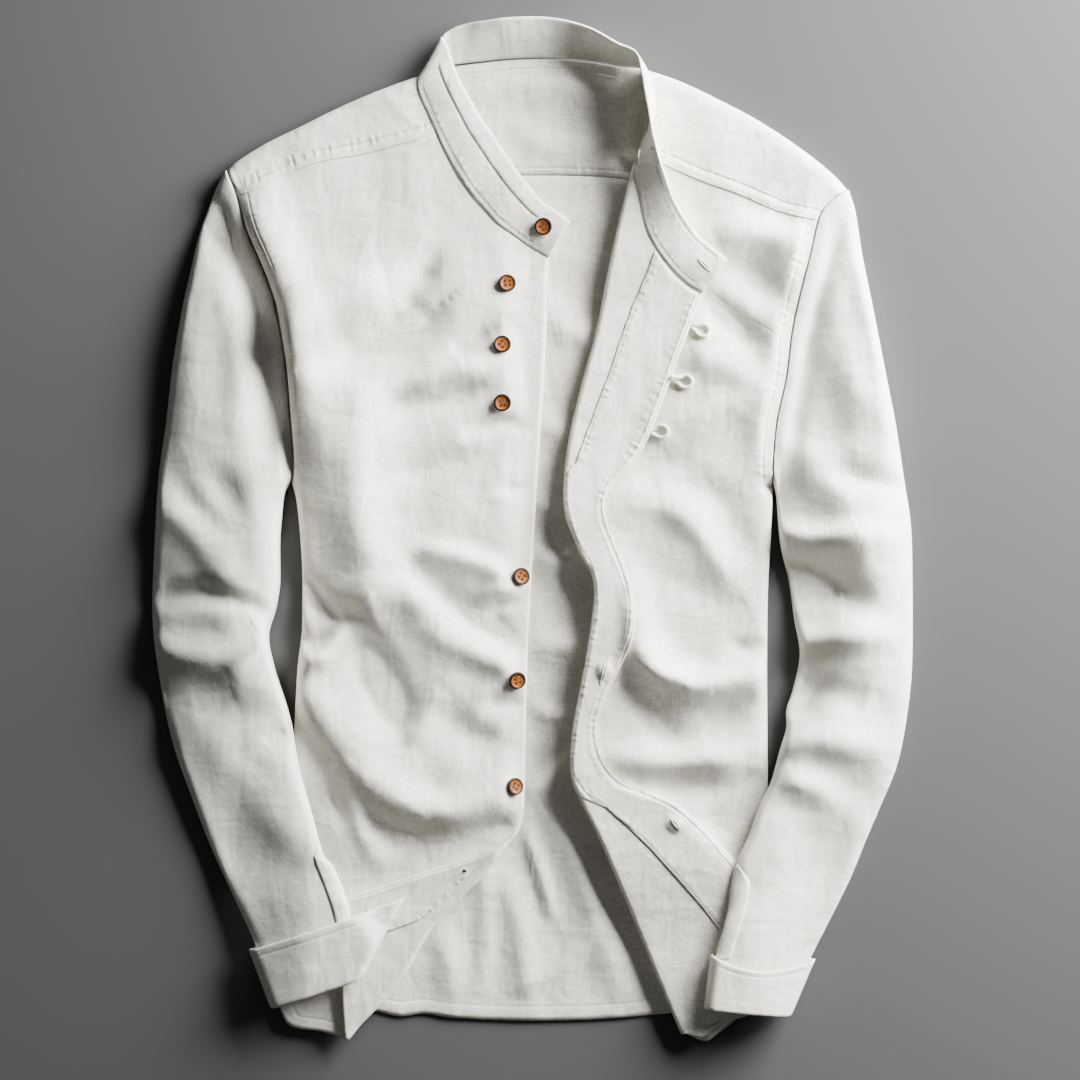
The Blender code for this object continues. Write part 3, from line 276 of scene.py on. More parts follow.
bodyFolds = readFolds([
    # wearer's right front, from the shoulder down
    (-185, 127, -156, 154, -105, 171, 17.5, 20, 24, 0),
    (-97, 162, -86, 174, -74, 190, -8.5, 10, 9, 0),
    (-143, 120, -111, 133, -72, 157, -11.5, 16, 14, 0.2),
    (-87, 99, -64, 111, -33, 118, 6.5, 9, 8, 0), (-102, 87, -71, 93, -40, 102, -6.5, 10, 8, -0.2),
    (-124, 107, -127, 36, -118, -29, 13.5, 22, 24, -0.15),
    (-155, 97, -149, 58, -152, 7, 2.5, 16, 18, 0), (-99, 36, -72, 45, -47, 53, -5.0, 13, 10, 0),
    (-21, 30, -10, 31, 1, 33, -5.0, 6, 5, 0), (-58, 127, -44, 136, -31, 142, -5.5, 8, 7, 0),
    (-12, 148, -2, 129, -5, 104, -4.0, 6, 6, 0), (-45, 71, -23, 77, 3, 75, -4.5, 6, 6, 0),
    (-126, -60, -101, -46, -70, -54, 10.5, 22, 17, 0),
    (-83, -16, -51, -19, -19, -33, 7.0, 10, 8, -0.2),
    (-85, -29, -56, -55, -6, -84, -8.0, 9, 12, 0.2), (-73, -73, -37, -90, -5, -102, 6.0, 11, 9, 0),
    (-36, -48, -20, -42, -1, -45, 3.5, 5, 5, 0), (-29, -56, -17, -53, -4, -49, -3.5, 5, 4, 0),
    (-166, -35, -153, -53, -137, -63, -9.0, 10, 8, 0),
    (-170, -81, -158, -90, -134, -70, 6.5, 6, 7, 0),
    (-167, -74, -159, -81, -142, -71, -5.0, 5, 6, 0),
    (-172, -100, -157, -96, -144, -89, 4.5, 6, 5, 0),
    (-128, -76, -112, -108, -91, -148, -10.0, 17, 16, 0.15),
    (-165, -110, -144, -148, -106, -186, 7.0, 16, 20, 0.2),
    (-113, -182, -67, -204, -12, -181, 9.5, 19, 15, -0.2),
    (-176, -129, -162, -150, -144, -176, -5.0, 13, 14, 0),
    (-90, -157, -78, -136, -61, -118, 5.0, 13, 12, 0),
    (-73, -127, -51, -142, -29, -155, -5.0, 13, 12, 0),
    (-31, -127, -21, -124, -9, -123, -4.5, 7, 6, 0),
    (-143, -189, -113, -212, -78, -219, -5.5, 13, 14, 0),
    (-82, -219, -44, -217, -11, -202, -5.0, 14, 10, 0),
    (-141, -177, -122, -217, -106, -250, 5.0, 7, 7, 0),
    (-104, -214, -86, -230, -67, -242, -5.0, 12, 10, 0),
    (-131, -258, -72, -237, -22, -213, -9.0, 9, 8, 0),
    # wearer's left front
    (131, 207, 157, 212, 185, 205, 9.0, 15, 13, 0), (145, 186, 163, 177, 185, 160, -7.0, 12, 14, 0),
    (125, 163, 140, 151, 158, 135, -8.0, 9, 10, 0), (115, 124, 136, 117, 164, 103, 5.0, 12, 12, 0),
    (106, 67, 126, 84, 159, 91, 5.0, 12, 13, 0), (72, 33, 89, 45, 115, 56, -5.0, 12, 11, 0),
    (68, 13, 105, 13, 144, -38, 6.5, 15, 15, 0.25), (94, 29, 126, 22, 152, -27, -5.0, 14, 14, 0),
    (75, -20, 105, -36, 140, -59, -3.0, 14, 14, 0),
    (67, -50, 73, -83, 93, -103, 13.0, 12, 12, 0.25),
    (87, -100, 121, -110, 165, -100, 13.0, 12, 12, -0.2),
    (143, -81, 155, -86, 167, -81, -5.0, 7, 6, 0),
    (73, -109, 103, -151, 149, -127, -7.0, 13, 13, 0),
    (50, -164, 99, -164, 150, -161, 8.0, 12, 12, 0),
    (108, -229, 141, -203, 164, -172, -8.0, 12, 12, 0),
    (72, -191, 108, -182, 144, -185, -4.0, 12, 11, 0),
    (96, -206, 102, -210, 107, -213, 3.0, 6, 6, 0)])
backFolds = readFolds([
    (4, -19, 21, -22, 42, -14, 5.5, 10, 10, 0), (1, -85, 19, -82, 41, -86, 5.0, 11, 10, 0),
    (5, 166, 27, 144, 48, 144, 4.0, 13, 11, 0), (5, 79, 17, 72, 27, 72, 3.5, 11, 10, 0),
    (-9, -192, 11, -177, 30, -160, 5.5, 8, 7, 0), (-24, -252, -9, -288, -6, -338, 4.0, 11, 10, 0),
    (19, -209, 41, -266, 63, -331, 4.0, 10, 11, 0),
    (-67, -288, -60, -313, -58, -338, 3.5, 11, 10, 0), (-4, -216, 5, -245, 14, -277, 4.5, 4, 4, 0),
    (-38, -238, -34, -281, -38, -328, 3.0, 7, 7, 0), (41, -288, 24, -310, -2, -328, 2.5, 6, 6, 0),
    (5, 22, 17, 13, 30, 14, 3.5, 7, 6, 0), (2, -126, 17, -133, 34, -131, 3.5, 7, 6, 0),
    (-45, 317, 5, 321, 63, 312, 4.5, 11, 11, 0), (-9, 285, 19, 274, 63, 281, 3.5, 10, 10, 0)])
sleeveFolds = {-1: readFolds([
    (-200, 233, -189, 165, -181, 71, -6.5, 13, 16, -0.2),
    (-238, 209, -245, 137, -256, 65, 4.0, 21, 23, 0),
    (-219, 191, -209, 140, -208, 75, 3.0, 12, 12, 0),
    (-259, 140, -263, 89, -267, 39, -3.0, 14, 14, 0),
    (-277, 20, -243, -1, -208, -52, 4.0, 16, 19, 0.2),
    (-254, 30, -240, 16, -225, 3, -4.0, 10, 9, 0), (-230, 43, -221, 30, -211, 16, -3.5, 10, 10, 0),
    (-200, 32, -196, 3, -192, -33, 3.0, 12, 12, 0),
    (-271, -51, -232, -44, -185, -62, -4.5, 7, 6, 0),
    (-271, -64, -243, -60, -217, -62, 3.0, 8, 8, 0),
    (-276, -75, -241, -93, -198, -85, 5.0, 11, 13, 0.2),
    (-192, -77, -203, -90, -217, -103, 3.5, 7, 8, 0),
    (-213, -120, -196, -113, -179, -103, 4.0, 12, 12, 0),
    (-277, -124, -246, -116, -215, -123, -4.0, 19, 19, 0),
    (-176, -144, -182, -147, -191, -153, -3.0, 5, 6, 0),
    (-219, -143, -203, -161, -187, -181, -0.9, 12, 12, 0),
    (-253, -157, -236, -148, -220, -164, 1.0, 14, 14, 0),
    (-260, -168, -247, -220, -221, -275, 3.5, 16, 16, 0),
    (-218, -202, -199, -228, -173, -252, -2.5, 19, 17, 0),
    (-197, -249, -179, -272, -157, -293, 0.9, 13, 11, 0),
    (-200, -198, -186, -210, -169, -224, 0.7, 12, 12, 0)]), 1: readFolds([
    (215, 212, 206, 135, 216, 54, -9.0, 19, 21, 0), (184, 190, 177, 127, 174, 68, 7.0, 8, 10, 0),
    (235, 190, 247, 126, 254, 56, 7.0, 10, 10, 0), (217, 126, 229, 104, 245, 83, 2.5, 12, 12, 0),
    (164, 61, 199, 48, 226, 10, 7.0, 16, 17, -0.2), (213, 42, 238, 36, 264, 29, -7.0, 8, 7, 0),
    (180, 34, 188, 24, 192, 11, -0.8, 11, 10, 0), (176, -2, 207, -5, 242, -2, 14.0, 12, 12, -0.2),
    (178, -38, 209, -41, 241, -56, -10.5, 12, 13, 0),
    (186, -80, 216, -77, 252, -75, 9.0, 10, 10, 0),
    (181, -119, 211, -117, 239, -120, -9.0, 13, 14, 0),
    (180, -128, 192, -129, 210, -135, -2.0, 5, 8, 0),
    (170, -155, 210, -152, 256, -161, 6.5, 11, 13, 0),
    (191, -167, 222, -181, 248, -213, -4.0, 12, 14, 0),
    (177, -178, 195, -182, 214, -192, 7.0, 11, 10, 0),
    (180, -217, 171, -263, 162, -315, 7.0, 12, 12, 0),
    (138, -251, 152, -253, 169, -262, -2.0, 5, 8, 0),
    (219, -224, 202, -267, 190, -307, -6.0, 11, 11, 0),
    (237, -197, 229, -233, 214, -276, 4.5, 9, 9, 0)])}


# gentle uneven waves between the folds: their size, their seed and their height
Wave = namedtuple("Wave", "size seed high")
noiseGain = 1.6                      # brings the noise to between -1 and 1


def drape(x, y, waves):
    total = 0
    for wave in waves:
        flat = [noise.noise(Vector((a / wave.size, b / wave.size, wave.seed)))
                for a, b in zip(np.ravel(x), np.ravel(y))]
        total = total + np.reshape(flat, np.shape(x)) * noiseGain * wave.high
    return total


def xAt(line, y):
    order = np.argsort(line.points[:, 1])
    return np.interp(y, line.points[order, 1], line.points[order, 0])


def bySide(x, values):
    # values is a function of the side; each point takes its own side's value
    return np.where(np.asarray(x) > 0, values(1), values(-1))


def outlineGap(x, y):
    # distance from the body's side seams and shoulder folds
    return bySide(x, lambda s: np.minimum(sides[s].nearest(x, y)[0], shoulders[s].nearest(x, y)[0]))


shirt = {
    "wall": 0.8,              # one layer of cloth
    "restHeight": 0.6,        # middle of the cloth where it lies on the floor
    "edgeHeight": 4.6,        # middle of the cloth at the side seams and shoulder folds
    "sideSeamHalf": 0.5,      # each layer stays this far from that middle at the side seams
    "sideRoll": 9.0,          # width over which the cloth rounds down to a side fold
    "bodyHeight": 11.0,
    "foldRadius": 2.6,        # of a turned-back edge
    "seamGap": 0.3,
    "bodyWaves": [Wave(62, 3.1, 1.7), Wave(24, 5.7, 0.8)],
}

armholeRidge = {
    "height": 12.5,           # of the seam between the body and a sleeve
    "roll": {-1: 7.0, 1: 12.0},      # width over which the body rises from it
    "stand": {-1: 9.5, 1: 5.0},      # beside the seams the body stands up by this,
    "apart": {-1: 13.0, 1: 10.0},    # this far from them
    "wide": {-1: 17.0, 1: 11.0},     # and over this width
    "fade": 55,               # length over which they rise from the ends of the seam,
    "armpit": 14,             # as if they began this far before the armpit
    "shoulder": 6,            # and this far past the shoulder
}

# where a level has two values, the second one is the length of its fade
lying = {
    "flat": 6.0,              # middle of the fronts under a sleeve and near the hem
    "hem": (-204, 52),        # y below which the fronts lie flat
    "sleeve": (-95, 45),      # y below which a sleeve presses the body down,
    "sleeveEdge": (-16, 22),  # from this far inside its own edge
    "sleeveLow": -316,
    "opening": 5.6,           # middle of the right front at its button edge
    "openingRoll": (-24, 24),
    "openingHalf": 16.0,      # the two fronts lie left and right of this x
    "flap": 6.2,              # middle of the left front under its turned-back part
    "flapEdge": (-18, 36),
    "flapTop": (205, 50),
    "flapStand": 6.5,         # the turned-back part stands up by this where it bows
    "bowTop": (80, 80),
    "bowLow": (-300, 70),
    "lowest": 5.0,
    "neckLift": 1.6,          # the back rises this much to the neck seam, over this width
    "neckWide": 14,
    "neckFrom": 300,          # and only above this y
    "backHalf": 80,           # the back's own folds show within this x
}


def armholeShare(side, along):
    # 1 along an armhole seam, falling to 0 at the armpit and at the shoulder fold
    return roundOff(np.minimum(along, armholes[side].length - along), shirt["sideRoll"])


def besideArmhole(side, x, y):
    # 1 beside an armhole seam, fading slowly towards its ends
    along = armholes[side].nearest(x, y)[1]
    toShoulder = armholes[side].length - along
    return smooth(np.minimum(along + armholeRidge["armpit"], toShoulder + armholeRidge["shoulder"])
                  / armholeRidge["fade"])


def pressed(x, y):
    # 1 where a sleeve lies on the body
    def one(side):
        inside = side * (x - xAt(sleeveInner[side], np.maximum(y, lying["sleeveLow"])))
        return past(inside, *lying["sleeveEdge"]) * before(y, *lying["sleeve"])
    return bySide(x, one)


def topHeight(x, y):
    # middle of the upper layer: the fronts and the front part of the yoke
    x, y = np.asarray(x, float), np.asarray(y, float)
    z = shirt["bodyHeight"] + foldSum(x, y, bodyFolds) + drape(x, y, shirt["bodyWaves"])
    z = mix(z, lying["flat"], pressed(x, y))
    z = mix(z, lying["flat"], before(y, *lying["hem"]))
    underFlap = past(xAt(frontEdgeLine, y) - x, *lying["flapEdge"]) * before(y, *lying["flapTop"])
    stand = lying["flapStand"] * before(y, *lying["bowTop"]) * past(y, *lying["bowLow"])
    z = np.where(x > lying["openingHalf"], mix(z, lying["flap"] + stand, underFlap),
                 mix(z, lying["opening"], past(x, *lying["openingRoll"])))
    z = np.maximum(z, lying["lowest"])

    def seamed(side):
        gap, along, _ = armholes[side].nearest(x, y)
        seam = mix(shirt["edgeHeight"], armholeRidge["height"], armholeShare(side, along))
        ridge = bell(gap - armholeRidge["apart"][side], armholeRidge["wide"][side])
        ridge = ridge * armholeRidge["stand"][side] * besideArmhole(side, x, y)
        wide = armholeRidge["roll"][side]
        return mix(seam, z + ridge, roundOff(gap, wide) if side < 0 else smooth(gap / wide))
    return mix(shirt["edgeHeight"] + shirt["sideSeamHalf"], bySide(x, seamed),
               roundOff(outlineGap(x, y), shirt["sideRoll"]))


def backHeight(x, y):
    # middle of the lower layer: the back and the back part of the yoke
    x, y = np.asarray(x, float), np.asarray(y, float)
    rise = 1 - roundOff(outlineGap(x, y), shirt["sideRoll"])
    toNeck = smooth(1 - neck.nearest(x, y)[0] / lying["neckWide"])
    lift = np.where(y > lying["neckFrom"], lying["neckLift"] * toNeck, 0)
    waves = np.where(np.abs(x) < lying["backHalf"], np.maximum(foldSum(x, y, backFolds), 0), 0)
    return mix(shirt["restHeight"] + lift + waves, shirt["edgeHeight"] - shirt["sideSeamHalf"], rise)


# helpers for the finishes
def fill(tree, node, values):
    # a plain value or a link for each of the node's inputs that is named or numbered
    for slot, value in values.items():
        if isinstance(value, bpy.types.NodeSocket):
            tree.links.new(value, node.inputs[slot])
        else:
            node.inputs[slot].default_value = value


def addNode(tree, kind, values, **settings):
    node = tree.nodes.new("ShaderNode" + kind)
    for setting, value in settings.items():
        setattr(node, setting, value)
    fill(tree, node, values)
    return node


def calc(tree, kind, first, second=None):
    values = {0: first} if second is None else {0: first, 1: second}
    return addNode(tree, "Math", values, operation=kind).outputs[0]


def cloud(tree, vector, stretch, detail, distortion=0.0):
    # soft noise over a vector; a larger stretch makes it finer in that direction
    place = addNode(tree, "VectorMath", {0: vector, 1: stretch}, operation="MULTIPLY")
    values = {"Vector": place.outputs[0], "Scale": 1, "Detail": detail, "Distortion": distortion}
    return addNode(tree, "TexNoise", values).outputs["Fac"]


def ramp(tree, factor, *ends):
    # a blend between two ends, each a position and a colour
    node = addNode(tree, "ValToRGB", {"Fac": factor})
    for element, (position, colour) in zip(node.color_ramp.elements, ends):
        element.position = position
        element.color = (*colour, 1)
    return node.outputs["Color"]


def bump(tree, height, distance, strength=1, under=None):
    # the normal of a relief, on top of another one if that is given
    values = {"Height": height, "Distance": distance, "Strength": strength}
    if under:
        values["Normal"] = under
    return addNode(tree, "Bump", values).outputs["Normal"]


def newMaterial(name, values):
    made = bpy.data.materials.new(name)
    made.use_nodes = True
    shader = made.node_tree.nodes["Principled BSDF"]
    fill(made.node_tree, shader, values)
    return made, made.node_tree, shader


def newGroup(name, inputs, outputs):
    # an empty node group; an input's value is its default, and None stands for a vector
    group = bpy.data.node_groups.new(name, "ShaderNodeTree")
    for label, value in inputs.items():
        kind = "NodeSocketVector" if value is None else "NodeSocketFloat"
        socket = group.interface.new_socket(label, in_out="INPUT", socket_type=kind)
        if value is not None:
            socket.default_value = value
    for label in outputs:
        group.interface.new_socket(label, in_out="OUTPUT", socket_type="NodeSocketFloat")
    given, result = group.nodes.new("NodeGroupInput"), group.nodes.new("NodeGroupOutput")
    return group, given.outputs, result


# lengths in the next two dictionaries are metres where nothing else is said, and the stretches
# are in turns per metre
weave = {
    "ivory": (0.9, 0.874, 0.79),
    "shade": (0.72, 0.698, 0.622),   # between the slubs
    "pitch": 0.00062,         # one thread
    "slub": 0.55,             # how much the threads' thickness varies
    "threadRelief": 0.35,     # share of the single threads in the relief
    "slubStretches": [(150, 620, 1), (640, 160, 1)],       # down the cloth and across it
    "slubColour": 0.6,        # how much slubs and large soft patches lighten the cloth
    "patchColour": 0.3,
    "patchStretch": (34, 34, 34),
    "colourFrom": 0.62,       # the blend between shade and ivory
    "colourTo": 0.86,
    "relief": 0.0003,
    "crumple": 0.0011,        # height of the small worn-in creases
    "crumples": [((70, 28, 30), 1.3), ((30, 60, 30), 1.3), ((150, 150, 120), 0.25)],
}
seamRelief = {
    "relief": 0.0012,
    "groove": 0.5,            # depth of the stitched groove, as a share of the relief
    "grooveWide": 0.0011,
    "pucker": 0.4,            # height of the puckers
    "puckerWide": 0.0056,
    "puckerPitch": 0.0068,
    "puckerDrift": 13,        # how unevenly the puckers follow each other
    "driftStretch": (75, 24, 0),
    "patchStretch": (46, 60, 3),
    "patchFrom": 0.32,        # puckers come and go along a seam
    "patchGain": 2.2,
    "plain": 0.5,             # weight of a seam without visible stitches, which has no puckers
    "reach": 14,              # a seam's marks fade out over this on both sides, in millimetres,
    "fade": 6,                # over this at its ends,
    "apart": (2.5, 4),        # and where another seam is nearly as close
}


def buildWeaveGroup():
    # plain weave: warp and weft threads with slubs, from a vector in metres along the cut
    group, given, result = newGroup("plainWeave", {"Cut": None, "Pitch": 0.0006, "Slub": 0.5},
                                    ["Height", "Mask"])
    cut = addNode(group, "SeparateXYZ", {0: given["Cut"]})
    threads = []
    for axis in (0, 1):
        turns = calc(group, "DIVIDE", cut.outputs[axis], given["Pitch"])
        threads.append(calc(group, "SINE", calc(group, "MULTIPLY", turns, math.pi)))
    over = calc(group, "MULTIPLY", *threads)
    slub = calc(group, "ADD", *(cloud(group, given["Cut"], stretch, 2)
                                for stretch in weave["slubStretches"]))
    heavy = calc(group, "MULTIPLY", slub, given["Slub"])
    thin = calc(group, "MULTIPLY", over, weave["threadRelief"])
    fill(group, result, {"Height": calc(group, "ADD", heavy, thin), "Mask": slub})
    return group


def buildSeamGroup():
    # what a row of stitches does to cloth: a narrow groove and uneven puckers on both sides
    group, given, result = newGroup("stitchedSeam", {"Seam": None, "Groove": 0.5, "Pucker": 0.5},
                                    ["Height"])
    along, gap, weight = addNode(group, "SeparateXYZ", {0: given["Seam"]}).outputs
    bells = []
    for width in (seamRelief["grooveWide"], seamRelief["puckerWide"]):
        ratio = calc(group, "DIVIDE", gap, width)
        square = calc(group, "MULTIPLY", ratio, ratio)
        near = calc(group, "EXPONENT", calc(group, "MULTIPLY", square, -1))
        bells.append(calc(group, "MULTIPLY", near, weight))
    drift = cloud(group, given["Seam"], seamRelief["driftStretch"], 1)
    patches = cloud(group, given["Seam"], seamRelief["patchStretch"], 1)
    turns = calc(group, "MULTIPLY", along, 2 * math.pi / seamRelief["puckerPitch"])
    turns = calc(group, "ADD", turns, calc(group, "MULTIPLY", drift, seamRelief["puckerDrift"]))
    wave = calc(group, "ADD", calc(group, "SINE", turns), 1)
    patchy = calc(group, "SUBTRACT", patches, seamRelief["patchFrom"])
    patchy = calc(group, "MULTIPLY", patchy, seamRelief["patchGain"])
    uneven = calc(group, "MULTIPLY", calc(group, "MULTIPLY", wave, patchy), given["Pucker"])
    # this is 0 on a plain seam, whose weight is a half, and 1 on a stitched one
    drawn = calc(group, "SUBTRACT", calc(group, "MULTIPLY", weight, 2), 1)
    drawn = calc(group, "MAXIMUM", drawn, 0)
    rumple = calc(group, "MULTIPLY", calc(group, "MULTIPLY", bells[1], uneven), drawn)
    groove = calc(group, "MULTIPLY", bells[0], given["Groove"])
    fill(group, result, {"Height": calc(group, "SUBTRACT", rumple, groove)})
    return group


plainWeave, stitchedSeam = buildWeaveGroup(), buildSeamGroup()


def makeCotton():
    made, tree, shader = newMaterial("ivoryCotton", {
        "Roughness": 0.86, "Specular IOR Level": 0.25, "Sheen Weight": 0.12, "Sheen Roughness": 0.6})
    cut = addNode(tree, "UVMap", {}, uv_map="cut")
    threads = addNode(tree, "Group", {"Pitch": weave["pitch"], "Slub": weave["slub"],
                                      "Cut": cut.outputs[0]}, node_tree=plainWeave)
    marks = addNode(tree, "Attribute", {}, attribute_name="seam")
    stitched = addNode(tree, "Group", {"Groove": seamRelief["groove"], "Pucker": seamRelief["pucker"],
                                       "Seam": marks.outputs["Vector"]}, node_tree=stitchedSeam)
    place = addNode(tree, "TexCoord", {}).outputs["Object"]
    patches = cloud(tree, place, weave["patchStretch"], 3)
    blend = calc(tree, "ADD", calc(tree, "MULTIPLY", threads.outputs["Mask"], weave["slubColour"]),
                 calc(tree, "MULTIPLY", patches, weave["patchColour"]))
    colour = ramp(tree, blend, (weave["colourFrom"], weave["shade"]), (weave["colourTo"], weave["ivory"]))
    # small worn-in creases that run mostly down the cloth, and softer ones across
    down, across, tiny = (calc(tree, "MULTIPLY", cloud(tree, place, stretch, 1.5, 0.5), weight)
                          for stretch, weight in weave["crumples"])
    crumple = calc(tree, "ADD", calc(tree, "ADD", down, across), tiny)
    fine = bump(tree, threads.outputs["Height"], weave["relief"], 0.7)
    worn = bump(tree, crumple, weave["crumple"], under=fine)
    coarse = bump(tree, stitched.outputs["Height"], seamRelief["relief"], under=worn)
    fill(tree, shader, {"Base Color": colour, "Normal": coarse})
    return made


cottonFinish = makeCotton()
threadFinish, _, _ = newMaterial("sewingThread", {"Base Color": (0.78, 0.76, 0.7, 1), "Roughness": 0.6})
# brown thread, darkened to near black so that the pegs in the buttons' holes also paint the shade inside
# the holes
brownThreadAndHoleShade, _, _ = newMaterial("brownThreadAndHoleShade", {"Base Color": (0.045, 0.016, 0.007, 1),
                                                "Roughness": 0.7})
print("cloth and thread finishes made")


# helpers for the cloth
def layGrid(points):
    # a grid whose rows and columns are moved to points, with its place on the cut cloth as UV
    rows, columns = points.shape[0] - 1, points.shape[1] - 1
    along = np.linalg.norm(np.diff(points, axis=1), axis=2)
    down = np.linalg.norm(np.diff(points, axis=0), axis=2).mean(1)
    u = np.concatenate([np.zeros((rows + 1, 1)), np.cumsum(along, axis=1)], axis=1)
    u = u - u[:, [columns // 2]]
    v = np.repeat(np.concatenate([[0], np.cumsum(down)])[:, None], columns + 1, axis=1)
    cut = np.stack([u, v], axis=-1)
    bm = bmesh.new()
    bmesh.ops.create_grid(bm, x_segments=columns, y_segments=rows, size=0.5)
    uv = bm.loops.layers.uv.new("cut")
    at = {}
    for vertex in bm.verts:
        i, j = round((vertex.co.x + 0.5) * columns), round((0.5 - vertex.co.y) * rows)
        vertex.co = points[j, i] * mm
        at[vertex] = cut[j, i] * mm
    for face in bm.faces:
        for corner in face.loops:
            corner[uv].uv = at[corner.vert]
    return bm


def gridNormals(points):
    # the upward direction at each point of a grid
    across, down = np.gradient(points, axis=1), np.gradient(points, axis=0)
    normal = unit(np.cross(across, down))
    return normal * np.where(normal[..., 2:] < 0, -1, 1)


plainSeams = []                      # seams without a visible row of stitches


def markSeams(mesh, lines):
    # along, signed distance and weight of the nearest row of stitches, in metres
    place = np.zeros(len(mesh.vertices) * 3)
    mesh.vertices.foreach_get("co", place)
    x, y = place.reshape(-1, 3)[:, 0] / mm, place.reshape(-1, 3)[:, 1] / mm
    best, second = np.full(len(x), 1e6), np.full(len(x), 1e6)
    found = np.zeros((len(x), 3))
    for number, line in enumerate(lines):
        weight = seamRelief["plain"] if line in plainSeams else 1.0
        gap, along, side = line.nearest(x, y)
        nearer = gap < best
        second = np.where(nearer, best, np.minimum(second, gap))
        best = np.where(nearer, gap, best)
        ends = smooth(along / seamRelief["fade"]) * smooth((line.length - along) / seamRelief["fade"])
        reach = weight * smooth(1 - gap / seamRelief["reach"]) * ends
        row = np.stack([(along + 1000 * number) * mm, gap * side * mm, reach], axis=-1)
        found = np.where(nearer[:, None], row, found)
    found[:, 2] *= past(second - best, *seamRelief["apart"])
    layer = mesh.attributes.new("seam", "FLOAT_VECTOR", "POINT")
    layer.data.foreach_set("vector", found.astype(np.float32).ravel())


def addObject(name, data):
    thing = bpy.data.objects.new(name, data)
    bpy.context.collection.objects.link(thing)
    return thing


def wear(thing, node=None):
    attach(thing, "root")
    if node:
        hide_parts(node)


def sewPanel(name, node, grids, seams, wall=shirt["wall"]):
    # grids that share an edge become one sheet of cloth, with its seams marked
    mesh = bpy.data.meshes.new(name)
    joined = bmesh.new()
    for points in grids:
        bm = layGrid(points)
        bm.to_mesh(mesh)
        joined.from_mesh(mesh)
        bm.free()
    bmesh.ops.remove_doubles(joined, verts=joined.verts, dist=0.02 * mm)
    bmesh.ops.recalc_face_normals(joined, faces=joined.faces)
    joined.to_mesh(mesh)
    joined.free()
    markSeams(mesh, seams)
    mesh.materials.append(cottonFinish)
    mesh.shade_smooth()
    thing = addObject(name, mesh)
    solid = thing.modifiers.new("cloth", "SOLIDIFY")
    solid.thickness = wall * mm
    solid.offset = 0
    wear(thing, node)
    print("made", name, len(mesh.polygons))


def stops(width, count, bothEnds=True):
    # shares of a width, close together where the cloth rounds over
    ends = [shirt["sideRoll"] * k / width for k in (0, 0.03, 0.12, 0.28, 0.5, 0.75, 1.0)]
    if bothEnds:
        middle = np.linspace(ends[-1], 1 - ends[-1], count)
        return np.array(ends[:-1] + list(middle) + [1 - k for k in reversed(ends[:-1])])
    return np.array(ends[:-1] + list(np.linspace(ends[-1], 1, count)))


def patch(u, v, top, bottom, left, right):
    # points between four curves; the shapes of the top and the bottom fade away from them
    fall = v[:, None, None]
    point = mix(left(v)[:, None, :], right(v)[:, None, :], u[None, :, None])
    return point + top.shape(u)[None] * atStart(fall, 2.5) + bottom.shape(u)[None] * atStart(1 - fall, 8)


def withHeight(plan, height):
    return np.concatenate([plan, np.asarray(height)[..., None]], axis=-1)


def armLength(side, point):
    # the armhole's length up to a point beside it
    return float(armholes[side].nearest(*point)[1])


backArmLength = {-1: armLength(-1, yokeBackLine.at(0)), 1: armLength(1, yokeBackLine.at(1))}


def bodyEdge(side, start):
    # the panel's edge: down the armhole from start to the armpit, then the side seam
    line, under = armholes[side], sides[side]
    total = start + under.length

    def at(share):
        s = np.asarray(share) * total
        return np.where((s < start)[..., None], line.at((start - s) / line.length),
                        under.at((s - start) / under.length))
    return at


back = {
    "width": 345,
    "columns": 92,
    "rows": 165,
    "hemWidth": 10.0,
    "hemStand": 0.5,          # the hem's second layer lifts it by this,
    "hemFade": 1.5,           # rising over this
    "crowding": 0.85,         # below 1, the rows lie closer together towards the hem
}


def makeBack():
    u = stops(back["width"], back["columns"])
    v = np.linspace(0, 1, back["rows"])
    v = mix(v, v ** back["crowding"], 0.5)
    plan = patch(u, v, yokeBackLine, hemBack, bodyEdge(-1, backArmLength[-1]),
                 bodyEdge(1, backArmLength[1]))
    plan[..., 1] -= shirt["seamGap"] * atStart(v[:, None], 12)
    x, y = plan[..., 0], plan[..., 1]
    z = backHeight(x, y)
    for side in (-1, 1):
        gap, along, _ = armholes[side].nearest(x, y)
        edge = mix(shirt["edgeHeight"] - shirt["sideSeamHalf"], shirt["restHeight"],
                   armholeShare(side, along))
        z = np.where((gap < 1) & (x * side > 0), edge, z)
    z = z + back["hemStand"] * before(hemBack.nearest(x, y)[0], back["hemWidth"], back["hemFade"])
    hemSeam = hemBack.beside(back["hemWidth"])
    plainSeams.append(hemSeam)
    sewPanel("backPanel", "back", [withHeight(plan, z)], [hemSeam])


yoke = {
    "wing": 56,               # columns of one shoulder, from the armhole to the neck
    "corner": 14,             # from there to the crest, round the neck
    "middle": 48,             # and across the back of the neck
    "topRows": 30,
    "lowRows": 28,
    "crestShare": 0.93,       # share of the shoulder fold over which the wing runs
    "lap": 1.5,               # the yoke laps over the fronts by this
    "lapStand": 0.25,         # clear of them by this
    "lapWide": (7, 4),        # and comes down to them again within this
    "seamLines": {-1: 6, 1: -6},     # its stitched seams lie this far inside its edges
    "backSeamLine": 5,
    "lapStart": 6,            # columns over which the lap begins beside the neck
}
bindingWidth = 7                     # of the tape inside the back of the neck
neckBinding = Line([(row.x, row.y - bindingWidth) for row in collarRows[crests[-1] + 1:crests[1]]])


